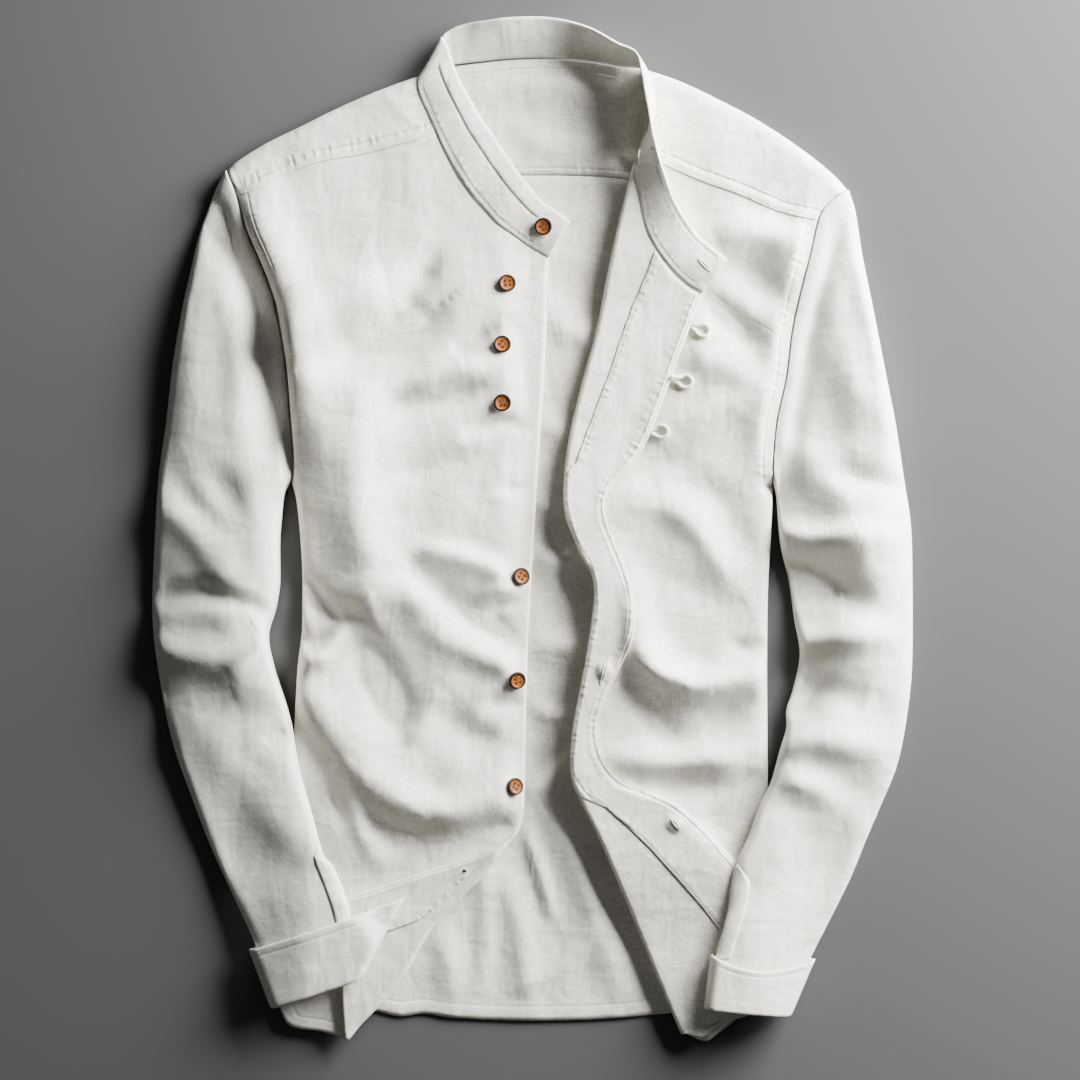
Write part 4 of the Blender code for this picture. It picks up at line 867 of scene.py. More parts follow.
def yokeSide(side):
    # the front seam and the shoulder fold of one side, point by point
    share, rest = np.arange(yoke["wing"]) / yoke["wing"], np.arange(yoke["corner"] + 1) / yoke["corner"]
    start = [yokeFronts[side].at(share), neck.row(mix(yokeEnds[side], crests[side], rest))]
    crest = [shoulders[side].at(share * yoke["crestShare"]),
             shoulders[side].at(mix(yoke["crestShare"], 1, rest))]
    return np.concatenate(start), np.concatenate(crest)


def makeYoke():
    wing, ends = yoke["wing"], yoke["wing"] + yoke["corner"]
    (startRight, crestRight), (startLeft, crestLeft) = yokeSide(-1), yokeSide(1)
    centre = neck.row(mix(crests[-1], crests[1], np.arange(1, yoke["middle"]) / yoke["middle"]))
    start = np.concatenate([startRight, centre, startLeft[::-1]])
    crest = np.concatenate([crestRight, centre, crestLeft[::-1]])
    count = len(start)
    apart = np.linalg.norm(crest - start, axis=1)
    column = np.arange(count)
    wingShare = smooth((wing - np.minimum(column, count - 1 - column)) / yoke["lapStart"])
    lap = mix(-shirt["seamGap"], yoke["lap"], wingShare)[:, None]
    start = np.where((apart > 1)[:, None], start - unit(crest - start) * lap, start)
    xFirst, xLast = yokeBackLine.at(0)[0], yokeBackLine.at(1)[0]
    low = yokeBackLine.at((crest[:, 0] - xFirst) / (xLast - xFirst))
    low[0], low[-1] = yokeBackLine.at(0), yokeBackLine.at(1)
    low = low + np.array([0, shirt["seamGap"]])
    run = 0.5 + 0.5 * np.cos(math.pi * np.linspace(0, 1, yoke["topRows"]))
    fall = np.linspace(0, 1, yoke["lowRows"])[1:] ** 1.5
    upper = mix(crest[None], start[None], run[:, None, None])
    lower = mix(crest[None], low[None], fall[:, None, None])
    plan = np.concatenate([upper, lower])
    high = np.concatenate([topHeight(upper[..., 0], upper[..., 1]),
                           backHeight(lower[..., 0], lower[..., 1])])
    fromEdge = np.linalg.norm(upper - start[None], axis=-1)
    onFronts = before(fromEdge, *yoke["lapWide"]) * wingShare
    high[:len(run)] += (shirt["wall"] + yoke["lapStand"]) * onFronts
    # across the back of the neck there is no front part
    inBack = (column > ends) & (column < count - 1 - ends)
    for row in range(len(run)):
        flatHigh = np.where(inBack, backHeight(plan[row, :, 0], plan[row, :, 1]), shirt["edgeHeight"])
        high[row] = np.where(apart < 1, flatHigh, high[row])
    # the yoke's ends follow the armholes on both layers
    for end, side in ((0, -1), (count - 1, 1)):
        line = armholes[side]
        along = np.concatenate([mix(line.length, line.nearest(*start[end])[1], run),
                                mix(line.length, backArmLength[side] + shirt["seamGap"], fall)])
        plan[:, end] = line.at(along / line.length)
        onTop = np.arange(len(along)) < len(run)
        seamed = np.where(onTop, armholeRidge["height"], shirt["restHeight"])
        high[:, end] = mix(shirt["edgeHeight"], seamed, armholeShare(side, along))
    lines = [yokeFronts[side].beside(yoke["seamLines"][side]) for side in (-1, 1)]
    lines += [yokeBackLine.beside(yoke["backSeamLine"]), neckBinding]
    plainSeams.append(neckBinding)
    sewPanel("shoulderYoke", "yoke", [withHeight(plan, high)], lines)


front = {
    "widths": {-1: 180, 1: 150},
    "columns": {-1: 58, 1: 44},
    "rowsAbove": 150,         # of the right front, down to the turned corner
    "rowsTurned": 60,
    "leftRows": 210,
    "rollColumns": 9,         # round a turned edge
    "toSeam": 12,             # columns from the roll to the facing's seam
    "toEdge": 16,             # and from there to the free edge
    "besideArmhole": 0.36,    # share of the length over which a front keeps clear of the sleeve
    "sleeveSeam": 7,          # its seam lies this far inside the armhole
    "tight": (0.25, 5),       # the corner's turn: share of the radius at its start, and its rise
    "found": 4,               # a facing's edge shows where its line passes this close,
    "showFrom": 6,            # this far from the fold or more
    "hidden": 7.5,            # elsewhere it stays this close to the fold
}
frontStart = placketLine.length / (placketLine.length + cornerFoldLine.length)
cornerInward = unit(np.array([-0.78, 0.62]))        # the way the lower right corner is turned


def cornerParts(t):
    # the corner's fold and free edge, and the radius of its turn, which starts tight
    tight, rise = front["tight"]
    radius = np.where(t > 0, shirt["foldRadius"] * smooth(tight + t * rise), 0)
    return cornerFoldLine.at(t), cornerEdgeLine.at(t), radius


def facingShares(plan, lines):
    # how far across a turned-back part the facing's inner edge lies, and whether it shows there
    t = np.linspace(0.04, 0.85, 60)
    shares, shown = [], []
    for points in plan(t):
        gaps = np.min([line.nearest(points[:, 0], points[:, 1])[0] for line in lines], axis=0)
        width = np.linalg.norm(points[-1] - points[0])
        found = gaps.min() < front["found"] and t[gaps.argmin()] * width > front["showFrom"]
        shares.append(t[gaps.argmin()] if found else min(front["hidden"] / max(width, 12), 0.5))
        shown.append(1.0 if found else 0.0)
    return np.array(shares), np.array(shown)


def columnShares(inner):
    # shares across a turned-back part: evenly to the facing's inner edge, then to the free edge
    near = inner[:, None] * np.linspace(0, 1, front["toSeam"] + 1)[None, 1:]
    beyond = mix(inner[:, None], 1, np.linspace(0, 1, front["toEdge"] + 1)[None, 1:])
    return np.concatenate([near, beyond], axis=1)


def roll(fold, inward, under, radius):
    # the columns where a panel turns back on itself, from its own height to the turned part's
    angle = np.linspace(0, math.pi, front["rollColumns"])[None, :]
    plan = fold[:, None] + inward[..., None, :] * (radius[:, None] * (1 - np.sin(angle)))[..., None]
    return withHeight(plan, under[:, None] + radius[:, None] * (1 - np.cos(angle)))


def cornerGrid():
    t, coarse = np.linspace(0, 1, front["rowsTurned"] + 1), np.linspace(0, 1, 25)
    fold, far, radius = cornerParts(t)
    start = fold + cornerInward * radius[:, None]
    rolled = roll(fold, np.repeat(cornerInward[None], len(t), axis=0),
                  topHeight(start[:, 0], start[:, 1]), radius)
    foldCoarse, farCoarse, _ = cornerParts(coarse)
    inner, _ = facingShares(lambda t: mix(foldCoarse[:, None], farCoarse[:, None], t[None, :, None]),
                            [facingSeamRight])
    share = columnShares(np.interp(t, coarse, inner))
    plan = mix(start[:, None], far[:, None], share[..., None])
    high = topHeight(plan[..., 0], plan[..., 1]) + 2 * radius[:, None]
    return np.concatenate([rolled, withHeight(plan, high)], axis=1)


def frontBody(side, v, top, hem, edge):
    # a front up to its turned edge, a little clear of the yoke and of the sleeve
    u = stops(front["widths"][side], front["columns"][side], bothEnds=False)
    start = armLength(side, yokeFronts[side].given[0])
    plan = patch(u, v, top, hem, bodyEdge(side, start), edge)
    if side > 0:
        short = yokeFronts[side].given[-1] - edge(v[:1])[0]
        plan += short * (u[:, None] * atStart(v[:, None, None]))
    plan[..., 1] -= 2 * shirt["seamGap"] * atStart(v[:, None])
    plan[:, 0, 0] -= side * np.where(v < front["besideArmhole"], 2 * shirt["seamGap"], 0)
    return withHeight(plan, topHeight(plan[..., 0], plan[..., 1]))


def makeFrontRight():
    top = Line([*yokeFronts[-1].points[::4], *neck.row(np.arange(yokeEnds[-1] - 0.5, -0.1, -0.5))], 2)
    v = np.concatenate([np.linspace(0, frontStart, front["rowsAbove"] + 1),
                        np.linspace(frontStart, 1, front["rowsTurned"] + 1)[1:]])

    def edge(v):
        fold, _, radius = cornerParts(np.clip((v - frontStart) / (1 - frontStart), 0, 1))
        return np.where((v <= frontStart)[:, None], placketLine.at(v / frontStart),
                        fold + cornerInward * radius[:, None])
    body = frontBody(-1, v, top, hemRight, edge)
    corner = cornerGrid()
    corner[:, 0] = body[front["rowsAbove"]:, -1]
    sewPanel("frontRight", "front_right", [body, corner],
             [armholeTop.beside(-front["sleeveSeam"]), chestSeams[-1], hemSeamRight])
    return corner


hemSeamRight = hemRight.beside(9)
plainSeams += [chestSeams[-1], chestSeams[1], hemSeamRight]
armholeTop = Line(armholes[-1].given[5:])           # the stretch above the chest seam
flapTop = Line(neck.row(np.linspace(yokeEnds[1], len(collarRows) - 1, 15)), 2)

facing = {
    "wall": 0.45,
    "clear": 0.05,            # above the cloth it lies on
    "columns": 26,
    "tip": 8,                 # rows at the turned corner's narrow end that it leaves out
    "hiddenFrom": 0.8,        # columns past the fold's crest where it starts if its edge is hidden
    "inset": 3.2,             # the facing ends this far inside the front's own edge
    "rise": 0.25,             # it stands up by this at its outer edge
    "riseWide": (3.2, 2.4),
    "bulge": 2.4,             # a buttonhole's surround bows up by this
    "bulgeWide": 4.6,         # over this width,
    "bulgeFlat": 1.6,         # with a flat top where this is over 1
    "seamLines": (1.6, -2.4),        # its stitched seams, inside its two edges
}
# the two ends of each worked buttonhole: one in the collar, two in the left front
buttonholes = [(118.4, 193.6, 126.8, 185), (48.4, -110, 54, -90), (98.8, -206, 104.6, -213.4)]


def foldInward(v):
    # the direction from the left front's fold towards its turned-back part
    along = unit(frontFoldLine.at(v - 0.02) - frontFoldLine.at(v + 0.02))
    return np.stack([along[:, 1], -along[:, 0]], axis=-1)


def flapPlan(v, share):
    # the turned-back part of the left front, seen from above; share runs from the fold to the edge
    start = frontFoldLine.at(v) + foldInward(v) * shirt["foldRadius"]
    plan = mix(start[:, None], frontEdgeLine.at(v)[:, None], share[..., None])
    fall = v[:, None, None]
    plan = plan + flapTop.shape(share) * atStart(fall, 6)
    return plan + frontFlapHem.shape(share) * atStart(1 - fall, 8), start


def flapGrid():
    v, coarse = np.linspace(0, 1, front["leftRows"] + 1), np.linspace(0, 1, 71)
    inner, shown = facingShares(
        lambda t: flapPlan(coarse, np.repeat(t[None], len(coarse), axis=0))[0],
        [facingSeamLeft, facingSeamLeftLow])
    plan, start = flapPlan(v, columnShares(np.interp(v, coarse, inner)))
    rolled = roll(frontFoldLine.at(v), foldInward(v), topHeight(start[:, 0], start[:, 1]),
                  np.full(len(v), shirt["foldRadius"]))
    high = topHeight(plan[..., 0], plan[..., 1]) + 2 * shirt["foldRadius"]
    for x0, y0, x1, y1 in buttonholes[1:]:
        gap = np.hypot(plan[..., 0] - (x0 + x1) / 2, plan[..., 1] - (y0 + y1) / 2)
        high = high + facing["bulge"] * smooth(facing["bulgeFlat"] - gap / facing["bulgeWide"])
    grid = np.concatenate([rolled, withHeight(plan, high)], axis=1)
    grid[..., 1] -= 1.5 * shirt["seamGap"] * atStart(v[:, None])
    return grid, smooth(np.interp(v, coarse, shown))


def makeFrontLeft():
    v = np.linspace(0, 1, front["leftRows"] + 1)
    body = frontBody(1, v, yokeFronts[1], hemLeft,
                     lambda v: frontFoldLine.at(v) + foldInward(v) * shirt["foldRadius"])
    flap, shown = flapGrid()
    body[:, -1] = flap[:, 0]
    sewPanel("frontLeft", "front_left", [np.concatenate([body, flap[:, 1:]], axis=1)],
             [chestSeams[1], armholes[1].beside(front["sleeveSeam"])])
    return flap, shown


def makeFacing(name, node, grid, shown):
    # it lies on its turned-back part: that part's points moved out, from the seam to the edge
    lift = shirt["wall"] / 2 + facing["wall"] / 2 + facing["clear"]
    skip = len(grid) - len(shown)
    points = (grid + gridNormals(grid) * lift)[skip:]
    last = points.shape[1] - 1
    first = mix(front["rollColumns"] / 2 + facing["hiddenFrom"],
                front["rollColumns"] + front["toSeam"] - 1, shown)
    columnWidth = np.linalg.norm(points[:, -1] - points[:, -2], axis=1)
    final = last - facing["inset"] / np.maximum(columnWidth, 0.4)
    column = mix(first[:, None], final[:, None], np.linspace(0, 1, facing["columns"])[None])
    low = np.clip(np.floor(column).astype(int), 0, last - 1)
    row = np.arange(len(points))[:, None]
    points = mix(points[row, low], points[row, low + 1], (column - low)[..., None])
    fromEdge = np.linalg.norm(points[..., :2] - points[:, -1:, :2], axis=-1)
    points[..., 2] += facing["rise"] * before(fromEdge, *facing["riseWide"])
    lines = [Line(points[::6, edge, :2], 3).beside(inside)
             for edge, inside in zip((0, -1), facing["seamLines"])]
    sewPanel(name, node, [points], lines,
             wall=facing["wall"])


# Places along the band are stations, the rows of collarRows.
collar = {
    "wall": 1.7,              # two layers and an interlining
    "columns": 300,
    "rises": [0, 0.07, 0.15, 0.24, 0.33, 0.42, 0.51, 0.6, 0.655, 0.675, 0.7, 0.76, 0.84, 0.92, 1.0],
    "crown": 1.5,             # the band bows out by this between its edges
    "stripFrom": 0.655,       # share of the band's width where the strip along its edge begins
    "stripLift": 0.75,
    "stripLine": 0.64,        # and where its seam lies
    "stripRows": (1.5, 10.8),        # stations between which it runs,
    "stripFades": (0.12, 0.6),       # fading over these at its two ends
    "lap": 1.2,               # the band's lower edge laps over the neckline by this
    "behindGap": 1.5,         # and lies this far behind it at the back
    "stand": -0.1,            # above the fronts' cloth at their neckline
    "standBehind": 1.3,       # above the back's
    # where the free side changes over, and the direction in which it points there
    "turns": [(crests[-1], (0.9, 0.4)), (crests[1], (-0.9, 0.4)), (yokeEnds[1], (-1, 0.2))],
    "turnHalf": 0.8,
    # stitched seams: the share of the band's width, and the first and the last station
    "seamLines": [(0.12, 0.4, 10.8), (0.12, yokeEnds[1], 32.6), (0.86, crests[1] + 1, 32.4)],
}


def freeSide(row):
    # direction, seen from above, in which the band's seam faces away from what it is sewn to
    along = unit(neck.row(row + 0.3) - neck.row(row - 0.3))
    right = np.stack([along[..., 1], -along[..., 0]], axis=-1)
    sign, extra = 1.0, 0.0
    for turn, away in collar["turns"]:
        across = np.clip((row - turn) / collar["turnHalf"], -1, 1)[..., None]
        sign = sign * -across
        extra = extra + (1 - np.abs(across)) * np.array(away)
    return unit(right * sign + extra)


def neckHeight(row):
    place = neck.row(row)
    x, y = place[..., 0], place[..., 1]
    near = smooth(1 - np.minimum(row - crests[-1], crests[1] - row))
    behind = mix(backHeight(x, y), shirt["edgeHeight"], near)
    ahead = topHeight(x, y) + 2 * shirt["foldRadius"] * past(row, yokeEnds[1] - 1.4, 1.6)
    return np.where((row >= crests[-1]) & (row <= crests[1]), behind, ahead)


def bandLine(share, first, last):
    # a line along the band at a share of its width, between two stations
    rows = np.linspace(first, last, int((last - first) * 3))
    low = neck.row(rows) + freeSide(rows) * -collar["lap"]
    return Line(mix(low, bandEdge.row(rows)[:, :2], share), 2)


def makeCollar():
    row = np.linspace(0, len(collarRows) - 1, collar["columns"] + 1)
    rise = np.array(collar["rises"])[:, None, None]
    behind = past(row, crests[-1] - 0.5, 1) * before(row, crests[1] + 0.5, 1)
    gap = mix(-collar["lap"], collar["behindGap"], behind)
    high = neckHeight(row) + mix(collar["stand"], collar["standBehind"], behind)
    base = withHeight(neck.row(row) + freeSide(row) * gap[:, None], high)
    points = mix(base[None], bandEdge.row(row)[None], rise)
    points[..., 2] += np.sin(math.pi * rise[..., 0]) * collar["crown"]
    begin, end = collar["stripRows"]
    fadeBegin, fadeEnd = collar["stripFades"]
    strip = past(row, begin, fadeBegin) * before(row, end, fadeEnd)
    points[..., 2] += collar["stripLift"] * past(rise[..., 0], collar["stripFrom"], 0.03) * strip
    lines = [bandLine(collar["stripLine"], begin, end - 0.5)]
    plainSeams.append(lines[0])
    lines += [bandLine(*values) for values in collar["seamLines"]]
    sewPanel("collarBand", "collar", [points], lines,
             wall=collar["wall"])
    return lines[1:]


# Places down a sleeve are shares of its length. Pairs are a place and the length of its fade.
sleeve = {
    "ring": 88,
    "rows": 190,
    "crowding": 1.08,         # above 1, the rows lie closer together at the armhole
    "edge": 4.0,              # the side folds stand this much above what the sleeve lies on
    "height": 8,
    "dome": (16, 6),          # rise of its middle at the top and at the wrist
    "domeFades": (0.3, 0.6),
    "domeFlat": 0.8,          # below 1, a flatter crown with steeper sides
    "crest": {-1: 0.5, 1: 2.0},      # power that moves the upper arm's crest inwards or outwards
    "crestFades": (0.32, 0.25),
    "valley": {-1: 11.5, 1: 7.0},    # depth of the sleeve beside the armhole seam,
    "valleyAt": {-1: 12.0, 1: 13.0},     # at this distance and over this width
    "valleyWide": {-1: 15.0, 1: 9.0},
    "overhang": 5.5,          # the right sleeve's seam lies lower by this, between these two y:
    "overhangTop": (158, 30),        # the body hangs over it below the chest seam
    "overhangLow": (34, 18),
    "start": 0.05,            # share over which the sleeve rises from the seam
    "waves": [Wave(58, 8.2, 1.5), Wave(22, 1.4, 0.6)],
    "wrist": 7.5,             # height where it goes into the cuff
    "wristFrom": (0.6, 0.28),
    "cuffGap": 2.6,
    "cuffFrom": (0.8, 0.08),
    "bodyBelow": (10.5, 14.5),       # height of the body under the sleeve, higher and lower down
    "bodyLower": (-170, 60),
    "bodyFrom": (-70, 60),
    "bodyEdge": (-40, 66),
    "bodyLow": -341,
}
# a narrow strip beside the inner edge, above the cuff
placket = {
    "wall": 0.2,
    "from": 0.74,
    "to": 0.92,
    "rows": 40,
    "columns": 8,
    "clear": 0.05,            # above the sleeve
    "top": (0.004, 0.06),     # its rounded upper end: where that begins, and its length
    # round the sleeve, in radians from its inner fold: where it starts, where it ends at its
    # pointed end, and how much further where it has its full width
    "round": (0.1, 0.2, 0.58),
}


def bodyUnder(side, x, y):
    # height of what a sleeve lies on
    inside = side * (xAt(sides[side], np.maximum(y, sleeve["bodyLow"])) - x)
    depth = mix(*sleeve["bodyBelow"], before(y, *sleeve["bodyLower"]))
    return depth * past(inside, *sleeve["bodyEdge"]) * before(y, *sleeve["bodyFrom"])


def sleeveGrid(side, w, t, upper):
    # w is 0 at the inner side fold and 1 at the outer one, t runs from the armhole to the cuff
    start, end = sleeveInner[side].at(t), sleeveOuter[side].at(t)
    width = np.linalg.norm(end - start, axis=-1)
    plan = mix(start, end, w[..., None]) + armholes[side].shape(w) * atStart(t, 6)[..., None]
    plan[..., 0] += side * 4 * shirt["seamGap"] * atStart(t)
    x, y = plan[..., 0], plan[..., 1]
    rounding = roundOff(np.minimum(w, 1 - w) * width, shirt["sideRoll"])
    base = bodyUnder(side, x, y) + sleeve["cuffGap"] * past(t, *sleeve["cuffFrom"])
    low = shirt["restHeight"] + base + sleeve["edge"] * (1 - rounding)
    crest = mix(sleeve["crest"][side], 1.0, past(t, *sleeve["crestFades"]))
    dome = mix(*sleeve["dome"], past(t, *sleeve["domeFades"]))
    dome = dome * np.sin(math.pi * w ** crest) ** sleeve["domeFlat"]
    gap = armholes[side].nearest(x, y)[0]
    deep = bell(gap - sleeve["valleyAt"][side], sleeve["valleyWide"][side])
    valley = sleeve["valley"][side] * besideArmhole(side, x, y) * deep
    high = sleeve["height"] + dome - valley + foldSum(x, y, sleeveFolds[side])
    high = high + drape(x, y, sleeve["waves"])
    seamHeight = armholeRidge["height"] - shirt["restHeight"]
    if side < 0:
        hanging = before(y, *sleeve["overhangTop"]) * past(y, *sleeve["overhangLow"])
        seamHeight = seamHeight - sleeve["overhang"] * hanging
    high = mix(seamHeight, high, smooth(t / sleeve["start"]))
    high = mix(high, sleeve["wrist"], past(t, *sleeve["wristFrom"]))
    high = np.maximum(high, sleeve["edge"] + 2)
    top = shirt["restHeight"] + base + sleeve["edge"] + (high - sleeve["edge"]) * rounding
    return withHeight(plan, np.where(upper, top, low))


def makeSleeve(side, name, node):
    ring, rows = sleeve["ring"], sleeve["rows"]
    i, j = np.meshgrid(np.arange(ring + 1), np.arange(rows + 1))
    w = 0.5 - 0.5 * np.cos(2 * math.pi * i / ring)
    points = sleeveGrid(side, w, (j / rows) ** sleeve["crowding"], (i > 0) & (i < ring / 2))
    sewPanel(name, node, [points], [])


def makePlacket(side, name, node):
    t = np.linspace(placket["from"], placket["to"], placket["rows"])
    begin, length = placket["top"]
    broad = np.sqrt(past(t, placket["from"] - begin, length))
    first, last, wide = placket["round"]
    w = 0.5 - 0.5 * np.cos(np.linspace(first, last + wide * broad, placket["columns"], axis=1))
    strip = sleeveGrid(side, w, np.repeat(t[:, None], placket["columns"], axis=1),
                       np.ones(w.shape, bool))
    strip = strip + gridNormals(strip) * (shirt["wall"] / 2 + placket["wall"] / 2 + placket["clear"])
    sewPanel(name, node, [strip], [],
             wall=placket["wall"])


CuffShape = namedtuple("CuffShape", "rimOuter rimInner bottomInner bottomOuter sag sleeveShare flat")
cuffShapes = {
    -1: CuffShape((-203.8, -301), (-92.9, -263.5), (-122.4, -319.7), (-187.5, -342), 0, 0.82,
                  (0.2, 0.05)),
    1: CuffShape((202.3, -308), (127.4, -303), (122.4, -341.5), (184.5, -347.8), 9, 1.2,
                 (0.15, 0.043))}
cuff = {
    "ring": 72,
    "rowsDown": 22,
    "turnAt": 0.93,           # share of its depth where it turns inwards,
    "turnRows": [0.97, 0.99, 1.0, 0.99, 0.97, 0.93],         # down to its lower edge and up again
    "tucks": [0.05, 0.2, 0.5, 0.8, 0.92, 0.93],              # and how far inwards each row lies
    "clear": 0.2,
    "height": 5.6,
    "overSleeve": 7.6,        # more where the sleeve lies in it
    "overShare": 1.3,         # share of its width over which that is at its lower end,
    "overFade": 0.15,         # and the length of the fade
    "roll": 0.8,              # its side folds are this much rounder than the sleeve's
}


def makeCuff(side, name, node):
    shape, ring, rowsDown = cuffShapes[side], cuff["ring"], cuff["rowsDown"]
    rimOuter, rimInner, bottomInner, bottomOuter = (np.array(p, float) for p in shape[:4])
    fall = np.concatenate([np.linspace(0, cuff["turnAt"], rowsDown), cuff["turnRows"]])[:, None]
    tuck = np.concatenate([np.zeros(rowsDown), cuff["tucks"]])[:, None] * sleeve["cuffGap"]
    w = 0.5 - 0.5 * np.cos(2 * math.pi * np.arange(ring + 1) / ring)[None, :]
    upper = ((np.arange(ring + 1) > 0) & (np.arange(ring + 1) < ring / 2))[None]
    start, end = mix(rimOuter, bottomOuter, fall), mix(rimInner, bottomInner, fall)
    across = unit(end - start)
    start, end = start + across * tuck, end - across * tuck
    width = np.linalg.norm(end - start, axis=-1)[:, None]
    down = unit(mix(bottomOuter, bottomInner, 0.5) - mix(rimOuter, rimInner, 0.5))
    sag = shape.sag * np.sin(math.pi * w) * (1 - fall) * upper
    plan = mix(start[:, None], end[:, None], w[..., None]) + down * sag[..., None]
    rounding = roundOff(np.minimum(w, 1 - w) * width, shirt["sideRoll"] * cuff["roll"])
    base = shirt["restHeight"] + cuff["clear"] + bodyUnder(side, plan[..., 0], plan[..., 1])
    high = cuff["height"] + cuff["overSleeve"] * before(
        w, mix(shape.sleeveShare, cuff["overShare"], fall), cuff["overFade"])
    edge = np.minimum(sleeve["edge"], high / 2)
    z = np.where(upper, base + edge + (high - edge) * rounding - tuck * rounding,
                 base + edge * (1 - rounding) + tuck * rounding)
    rim = Line(plan[3, 3:ring // 2 - 3][::4], 4)
    plainSeams.append(rim)
    sewPanel(name, node, [withHeight(plan, z)], [rim])


# helpers for the trimmings
def surfaceOf(*names):
    # a ray-castable copy of finished pieces
    depsgraph = bpy.context.evaluated_depsgraph_get()
    return [BVHTree.FromObject(bpy.data.objects[name], depsgraph) for name in names]


def dropOn(trees, x, y):
    # the highest place on the pieces straight below a point, and the way it faces
    best = None
    for tree in trees:
        place, normal, _, _ = tree.ray_cast(Vector((x * mm, y * mm, 0.1)), Vector((0, 0, -1)))
        if place and (best is None or place.z > best[0].z):
            best = (place, normal if normal.z > 0 else -normal)
    return best


def meshFrom(name, bm):
    mesh = bpy.data.meshes.new(name)
    bm.to_mesh(mesh)
    bm.free()
    return mesh


def bakedMesh(thing):
    # what an object's modifiers or bevel make of it, as a plain mesh
    bpy.context.view_layer.update()
    return bpy.data.meshes.new_from_object(thing.evaluated_get(bpy.context.evaluated_depsgraph_get()))


def finishPiece(name, bm, material, node=None):
    mesh = meshFrom(name, bm)
    mesh.materials.append(material)
    mesh.shade_smooth()
    mesh.set_sharp_from_angle(angle=math.radians(35))
    thing = addObject(name, mesh)
    wear(thing, node)
    return thing


def tidyFaces(bm):
    bmesh.ops.remove_doubles(bm, verts=bm.verts, dist=0.001 * mm)
    bmesh.ops.recalc_face_normals(bm, faces=bm.faces)


def setDown(bm, turn, place, verts=None):
    # turns what is modelled at the origin and moves it to its place
    bmesh.ops.rotate(bm, verts=verts or bm.verts, cent=(0, 0, 0), matrix=turn)
    bmesh.ops.translate(bm, verts=verts or bm.verts, vec=place)


buttonCentres = [(7.5, 217.5), (-18.7, 176.8), (-22, 132.8), (-22, 91.4), (-9.2, -33.5),
                 (-12, -107.3), (-13.7, -183.6)]
button = {
    "radius": 6.25,
    "thickness": 2.6,
    "clear": 0.3,             # above the cloth
    "profile": [(0, 0), (0.78, 0), (0.93, 0.08), (1.0, 0.3), (1.0, 0.68), (0.97, 0.9), (0.91, 1.0),
                (0.85, 1.0), (0.77, 0.97), (0.7, 0.84), (0.62, 0.76), (0.3, 0.72), (0, 0.72)],
    "dish": 0.72,             # share of the thickness left in the dished face
    "holeRadius": 0.95,
    "holeSpread": 1.5,
    "rimFrom": 0.8,           # share of the radius from which the wood is scorched dark
    "turn": 0.83,             # each button lies turned by this much more
    "thread": 0.42,
    "threadSpread": 0.88,
    "grain": (260, 1300, 1300),      # stretch of the wood's grain, in turns per metre
    "relief": 0.0001,         # metres
    "darkAt": 0.34,           # the blend between its two colours
    "lightAt": 0.68,
    "wood": [(0.075, 0.02, 0.003), (0.34, 0.105, 0.016)],
    "burnt": [(0.008, 0.004, 0.003), (0.02, 0.008, 0.005)],
}


def woodMaterial(name, dark, light):
    made, tree, shader = newMaterial(name, {"Roughness": 0.5, "Specular IOR Level": 0.2})
    place = addNode(tree, "TexCoord", {}).outputs["Object"]
    grain = cloud(tree, place, button["grain"], 4)
    stripes = ramp(tree, grain, (button["darkAt"], dark), (button["lightAt"], light))
    fill(tree, shader, {"Base Color": stripes, "Normal": bump(tree, grain, button["relief"], 0.3)})
    return made


woodFinish = woodMaterial("turnedWood", *button["wood"])
rimFinish = woodMaterial("burntRim", *button["burnt"])


def makeButtons():
    trees = surfaceOf("frontRight", "collarBand")
    radius, thick = button["radius"] * mm, button["thickness"] * mm
    around = [(0, 0)] + [(math.cos(a) * button["radius"], math.sin(a) * button["radius"])
                         for a in np.linspace(0, 2 * math.pi, 9)[:-1]]
    for number, (x, y) in enumerate(buttonCentres, 1):
        hits = [hit for hit in (dropOn(trees, x + dx, y + dy) for dx, dy in around) if hit]
        normal = sum((hit[1] for hit in hits), Vector()).normalized()
        centre = Vector((x * mm, y * mm, hits[0][0].z))
        lift = max((hit[0] - centre).dot(normal) for hit in hits) + button["clear"] * mm
        bm = bmesh.new()
        chain = [bm.verts.new((r * radius, 0, h * thick)) for r, h in button["profile"]]
        edges = [bm.edges.new(pair) for pair in zip(chain, chain[1:])]
        bmesh.ops.spin(bm, geom=chain + edges, cent=(0, 0, 0), axis=(0, 0, 1), angle=2 * math.pi,
                       steps=48, use_merge=True, use_duplicate=False)
        tidyFaces(bm)
        for face in bm.faces:
            out = face.calc_center_median().xy.length / radius
            face.material_index = 1 if out > button["rimFrom"] else 0
        swirl = Matrix.Rotation(button["turn"] * number, 3, "Z")
        turn = Vector((0, 0, 1)).rotation_difference(normal).to_matrix() @ swirl
        place = centre + normal * lift
        setDown(bm, turn, place)
        thing = finishPiece(f"button{number}", bm, woodFinish, f"button_{number}")
        thing.data.materials.append(rimFinish)
        pierce(thing, fourPegs(button["holeRadius"], 1, thick * 3, thick / 2, 20), turn, place)
        # the thread pegs are near black: partly the thread's own brown, partly painted shade inside the
        # holes
        threads = fourPegs(button["thread"], button["threadSpread"], thick * button["dish"],
                           thick * button["dish"] / 2, 10)
        setDown(threads, turn, place)
        finishPiece(f"buttonThread{number}", threads, brownThreadAndHoleShade)
    print("made the buttons")


